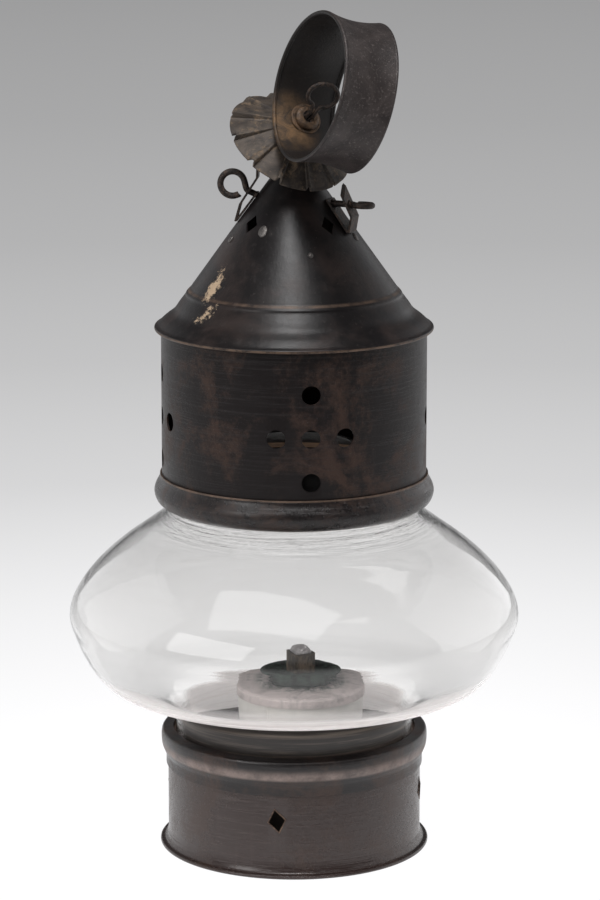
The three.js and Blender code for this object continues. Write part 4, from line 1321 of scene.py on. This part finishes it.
def ring_finish(name, size):
    """Speckled grey-brown outside, near black on the inside, and golden rust beside the washer."""
    finish = Finish(name)
    mottle = finish.noise(60, 8, 0.65, twist=0.5)
    fine = finish.noise(900, 5, 0.75)
    base = finish.mix(finish.step(mottle, 0.4, 0.7), (0.026, 0.021, 0.021), (0.06, 0.049, 0.047))
    base = finish.mix(finish.step(fine, 0.54, 0.68) * 0.5, base, (0.2, 0.175, 0.165))
    frame_of_ring = posed(PIN_AXIS, RING_TURN, size.ring_centre)
    middle, axis = frame_of_ring.translation, frame_of_ring.to_3x3() @ Vector((0, 1, 0))
    away, along = finish.round_axis(middle, axis)
    dish = DISH * MM
    depth = away + dish - (along * along) * (dish / (11.8 * MM) ** 2)
    inner = 1 - finish.step(depth, size.ring - 0.75 * MM, size.ring - 0.5 * MM)
    base = finish.mix(inner * 0.9, base, (0.005, 0.004, 0.0038))
    rust = finish.fade(finish.noise(150, 8, 0.75, twist=0.8), 0.38, 0.62, 0.1, 0.9)
    gold = APEX + PIN_AXIS * (3 * MM) + frame_of_ring.to_3x3() @ Vector((4 * MM, -8 * MM, 0))
    rust = rust * (inner * (1 - finish.step(finish.distance(gold), 0.004, 0.018))).most(0.03)
    base = finish.mix(rust, base, finish.mix(fine, (0.1, 0.055, 0.025), (0.22, 0.125, 0.055)))
    rough = 0.4 + fine * 0.16 + rust * 0.12
    finish.surface(
        Base_Color=base, Roughness=rough, Metallic=0.2, Specular_IOR_Level=0.4,
        Normal=finish.bump(mottle * 0.3 + fine * 0.3, 0.0008, 0.55))
    return finish.material


def washer_finish(name):
    return grained(
        name, (350, 7, 0.7), (0.35, 0.65), (0.035, 0.022, 0.014), (0.13, 0.075, 0.04), 0.4, 0.2,
        (0.0005,), metallic=0.4)


# Lamp


# Heights, and distances from the burner, in metres between which the tin's stains and its painted shade
# begin or end
POT_TOP, BASE_SHADE_TOP, BLOOM_REACH = (0.0645, 0.0655), (0.047, 0.056), (0.0165, 0.0215)


def tin_finish(name, shades, aside):
    """Dull tinned sheet: pinkish lid, greenish pot, verdigris round the burner, and painted shade low down
    where the font stands inside the base.
    """
    finish = Finish(name)
    stain = finish.noise(70, 8, 0.7, twist=0.8)
    scratch = finish.noise(260, 4, 0.7, (1, 1, 9))
    dark = [c * 0.45 for c in shades.tin]
    base = finish.mix(finish.step(stain, 0.42, 0.72), shades.tin, dark)
    base = finish.mix(finish.step(scratch, 0.58, 0.7) * 0.4, base, [min(1.0, c * 1.5) for c in shades.tin])
    away, along = finish.round_axis((aside, 0, 0), (0, 0, 1))
    pot = 1 - finish.step(along, *POT_TOP)
    base = finish.mix(pot * 0.7, base, (0.9, 0.88, 0.82))
    spread = (1 - finish.step(away, *BLOOM_REACH)) * finish.step(finish.noise(220, 8, 0.8), 0.4, 0.6)
    base = finish.mix(spread * 0.9, base, shades.verdigris)
    # Painted shade: near black low down, where the font stands in the shaded base
    base = finish.mix(1 - finish.step(along, *BASE_SHADE_TOP), base, (0.02, 0.016, 0.014))
    finish.surface(
        Base_Color=base, Roughness=0.42 + stain * 0.3, Metallic=0.2,
        Normal=finish.bump(stain * 0.4 + scratch * 0.2, 0.0007, 0.5))
    return finish.material


def burner_finish(name, shades):
    """Old brass gone dark, with a green crust."""
    finish = Finish(name)
    crust = finish.noise(380, 8, 0.8)
    base = finish.mix(finish.step(crust, 0.42, 0.62), (0.012, 0.013, 0.011), shades.verdigris)
    base = finish.mix(finish.step(finish.noise(900, 4, 0.8), 0.62, 0.7) * 0.6, base, (0.22, 0.27, 0.22))
    finish.surface(
        Base_Color=base, Roughness=0.62 + crust * 0.25, Metallic=0.3,
        Normal=finish.bump(crust, 0.0013, 0.8))
    return finish.material


def wick_finish(name, shades, top):
    finish = Finish(name)
    weave = finish.noise(900, 4, 0.6, (1, 1, 0.5))
    ash = finish.step(finish.noise(420, 7, 0.8), 0.45, 0.6)
    base = finish.mix(weave, shades.cotton, [c * 0.6 for c in shades.cotton])
    low = 1 - finish.step(finish.along("Z"), top - 0.0042, top - 0.0026)
    base = finish.mix(low * ash * 0.8, base, (0.05, 0.04, 0.038))
    finish.surface(Base_Color=base, Roughness=0.95, Normal=finish.bump(weave + ash, 0.001))
    return finish.material


class Lantern_OT_lamp(bpy.types.Operator):
    """Makes the pan, the font, the burner and the wick"""

    bl_idname = "lantern.lamp"
    bl_label = "Oil lamp"

    def execute(self, context):
        size = context.scene.lantern_lamp
        shades = context.scene.lantern_finish
        tin = tin_finish("font_tin", shades, size.aside)
        settle(bottom_pan(size.pan / MM), "lamp", "base_iron",
               japanned_iron("pan_iron", shades.japan, shades, (), 0.9, 0.5), "bottom_pan")
        refinish(("left_catch", "right_catch"), tin)
        brass = burner_finish("burner_brass", shades)
        cotton = wick_finish("wick_cotton", shades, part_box("wick")[1][2])
        pot, lid = font_pieces(size.font / MM)
        lit = []
        for piece, body, slot, finish, node in (
                (pot, "lamp", "tin", tin, "font_body"),
                (lid, "lamp", "tin", tin, "font_top"),
                (burner_neck(), "lamp", "burner_brass", brass, "burner_collar"),
                (burner_cap(size), "burner", "burner_brass", brass, "burner_dish"),
                (square_tube(size), "burner", "burner_brass", tube_finish("tube_brass"), "wick_tube"),
                (charred_wick(size), "wick_cord", "wick_cotton", cotton, "wick")):
            set_down(piece, moved(size.aside, 0, 0))
            settle(piece, body, slot, finish, node)
            lit.append(piece)
        link_lights(("lamp_fill",), lit, "INCLUDE")
        return {"FINISHED"}


def bottom_pan(radius):
    """A pan with a rolled rim and a stamped step."""
    sheet = LAMP_SHEET
    outline = [
        (0, 2.0), (radius - 9, 2.0), (radius - 8.4, 2.35), (radius - 4.5, 2.35), (radius - 4, 2.0),
        (radius - 1.2, 2.0), *arc((radius - 1.2, 3.2), 1.2, -90, 0, 6)[1:], (radius, 10.6),
        *arc((radius - sheet / 2, 10.65), sheet / 2, 0, 180, 6)[1:],
        (radius - sheet, 3.2), (radius - 1.5, 2.7), (radius - 4.2, 2.7), (radius - 4.8, 3.05),
        (radius - 8.2, 3.05), (radius - 8.8, 2.7), (0, 2.7),
    ]
    return turned("lamp_pan", scaled(outline))


def font_pieces(radius):
    """The oil pot and its lapped lid."""
    low, high = (box[2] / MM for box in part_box("font_body"))
    wall = radius - 0.8
    pot = [
        (0, low), (wall - 0.8, low), *arc((wall - 0.8, low + 0.8), 0.8, -90, 0, 5)[1:], (wall, high),
        (wall - LAMP_SHEET, high), (wall - LAMP_SHEET, low + 0.9), (wall - 1.2, low + LAMP_SHEET),
        (0, low + LAMP_SHEET),
    ]
    body = turned("font_pot", scaled(pot), MIDDLE_STEPS)
    seam = lap_seam("font_seam", wall * MM, (low + 1) * MM, (high - 4) * MM, -38, LAMP_SHEET * MM)
    body = joined("font_pot", [body, seam])
    bottom, top = (box[2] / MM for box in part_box("font_top"))
    rim = bottom + 3.7
    lid = [
        (radius - LAMP_SHEET, bottom), (radius, bottom), (radius, rim - 0.5),
        *arc((radius - 0.5, rim - 0.5), 0.5, 0, 90, 4)[1:], (radius - 0.9, rim + 0.35),
        *spline([(radius - 1.4, rim + 0.55), (20, top - 0.95), (12.7, top)], 4),
        (12.7, top - LAMP_SHEET), *spline([(20, top - 1.65), (radius - 1.4, rim - 0.15)], 3),
        (radius - LAMP_SHEET, rim - 0.2),
    ]
    return body, turned("font_lid", scaled(lid), MIDDLE_STEPS)


def burner_neck():
    low, high = (box[2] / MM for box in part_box("burner_collar"))
    seat = low + 7.1
    outline = [
        (11.3, low), (12.0, low), (12.0, seat), (14.1, seat), (14.1, seat + 0.4), (13.6, seat + 0.7),
        (13.4, high - 0.3), (13.1, high), (11.3, high),
    ]
    return turned("burner_neck", scaled(outline), SMALL_STEPS)


def burner_cap(size):
    """A dished cap with a thick rolled rim, and a plug below."""
    low, high = (box[2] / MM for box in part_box("burner_dish"))
    rim = size.burner / MM
    roll = 1.45
    floor = high - 2.3
    outline = [
        (0, low), (10.9, low), (10.9, floor - 0.5), (rim - 2.6, floor - 0.35),
        *arc((rim - roll, high - roll), roll, -70, 175, 12),
        *spline([(rim - 3.1, floor + 0.5), (rim - 5, floor + 0.12), (9, floor)], 4), (0, floor),
    ]
    cap = turned("burner_cap", scaled(outline), MIDDLE_STEPS)
    hole = primitive("cube", "tube_hole", size=1)
    set_down(hole, moved(0, 0, floor * MM) @ rotated(LAMP_TURN, "Z")
             @ Matrix.Diagonal((size.tube + 0.2 * MM, size.tube + 0.2 * MM, 0.06, 1)))
    carve(cap, hole)
    tidy_mesh(cap)
    dent(cap, 0.006, 0.0003)
    return cap


def square_tube(size):
    """An open square tube with softened corners."""
    low, high = (box[2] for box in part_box("wick_tube"))
    tube = primitive("cube", "square_tube", size=1)
    set_down(tube, Matrix.Diagonal((size.tube, size.tube, high - low, 1)))
    bore = primitive("cube", "bore", size=1)
    inner = size.tube - 1.4 * MM
    set_down(bore, Matrix.Diagonal((inner, inner, 1, 1)))
    carve(tube, bore)
    rounded(tube, 0.22 * MM)
    set_down(tube, moved(0, 0, (low + high) / 2) @ rotated(LAMP_TURN, "Z"))
    tidy_mesh(tube)
    return tube


def tube_finish(name):
    finish = Finish(name)
    grain = finish.noise(300, 8, 0.75, (1, 1, 0.5))
    base = finish.mix(finish.step(grain, 0.4, 0.64), (0.03, 0.024, 0.02), (0.14, 0.105, 0.075))
    base = finish.mix(finish.step(finish.noise(800, 4, 0.7), 0.62, 0.7) * 0.5, base, (0.1, 0.13, 0.1))
    finish.surface(
        Base_Color=base, Roughness=0.55 + grain * 0.2, Metallic=0.45, Normal=finish.bump(grain, 0.0006))
    return finish.material


# Levels of the wick's steps in shares of its height, and its width there in shares of its side
WICK_RISES = (0.3, 0.6, 0.88, 0.91, 0.94, 0.965, 0.98, 0.988)
WICK_SPREADS = (0.98, 0.98, 0.98, 0.95, 0.88, 0.74, 0.52, 0.2)


def charred_wick(size):
    """A square cord, drawn up step by step, whose end is burnt round and ragged."""
    low, high = (box[2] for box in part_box("wick"))
    side = size.tube - 2.1 * MM
    cord = primitive("grid", "burnt_wick", x_subdivisions=12, y_subdivisions=12, size=side)
    start_edit()
    level, spread = low, 1.0
    rises = [(high - low) * share for share in WICK_RISES]
    for rise, share in zip(rises, WICK_SPREADS):
        step = Vector((0, 0, low + rise - level))
        bpy.ops.mesh.extrude_region_move(TRANSFORM_OT_translate={"value": step})
        bpy.ops.transform.resize(value=(share / spread, share / spread, 1))
        level, spread = low + rise, share
    end_edit()
    set_down(cord, moved(0, 0, low) @ rotated(LAMP_TURN, "Z"))
    tidy_mesh(cord, 60)
    dent(cord, 0.0022, 0.0008)
    return cord


OPERATORS = (
    Lantern_OT_stage, Lantern_OT_base, Lantern_OT_globe, Lantern_OT_drum, Lantern_OT_roof,
    Lantern_OT_hood, Lantern_OT_eyes, Lantern_OT_ring, Lantern_OT_lamp,
)


class Lantern_PT_panel(bpy.types.Panel):
    """Lists the lantern's pieces in the sidebar"""

    bl_idname = "LANTERN_PT_panel"
    bl_label = "Onion Lantern"
    bl_space_type = "VIEW_3D"
    bl_region_type = "UI"
    bl_category = "Lantern"

    def draw(self, context):
        for operator in OPERATORS:
            self.layout.operator(operator.bl_idname)


def register():
    for group in GROUPS.values():
        bpy.utils.register_class(group)
    for name, group in GROUPS.items():
        setattr(bpy.types.Scene, name, bpy.props.PointerProperty(type=group))
    for part in (*OPERATORS, Lantern_PT_panel):
        bpy.utils.register_class(part)


def unregister():
    for part in (Lantern_PT_panel, *reversed(OPERATORS)):
        bpy.utils.unregister_class(part)
    for name in GROUPS:
        delattr(bpy.types.Scene, name)
    for group in reversed(list(GROUPS.values())):
        bpy.utils.unregister_class(group)


def main():
    register()
    for operator in OPERATORS:
        group, name = operator.bl_idname.split(".")
        getattr(getattr(bpy.ops, group), name)()


if __name__ == "__main__":
    main()
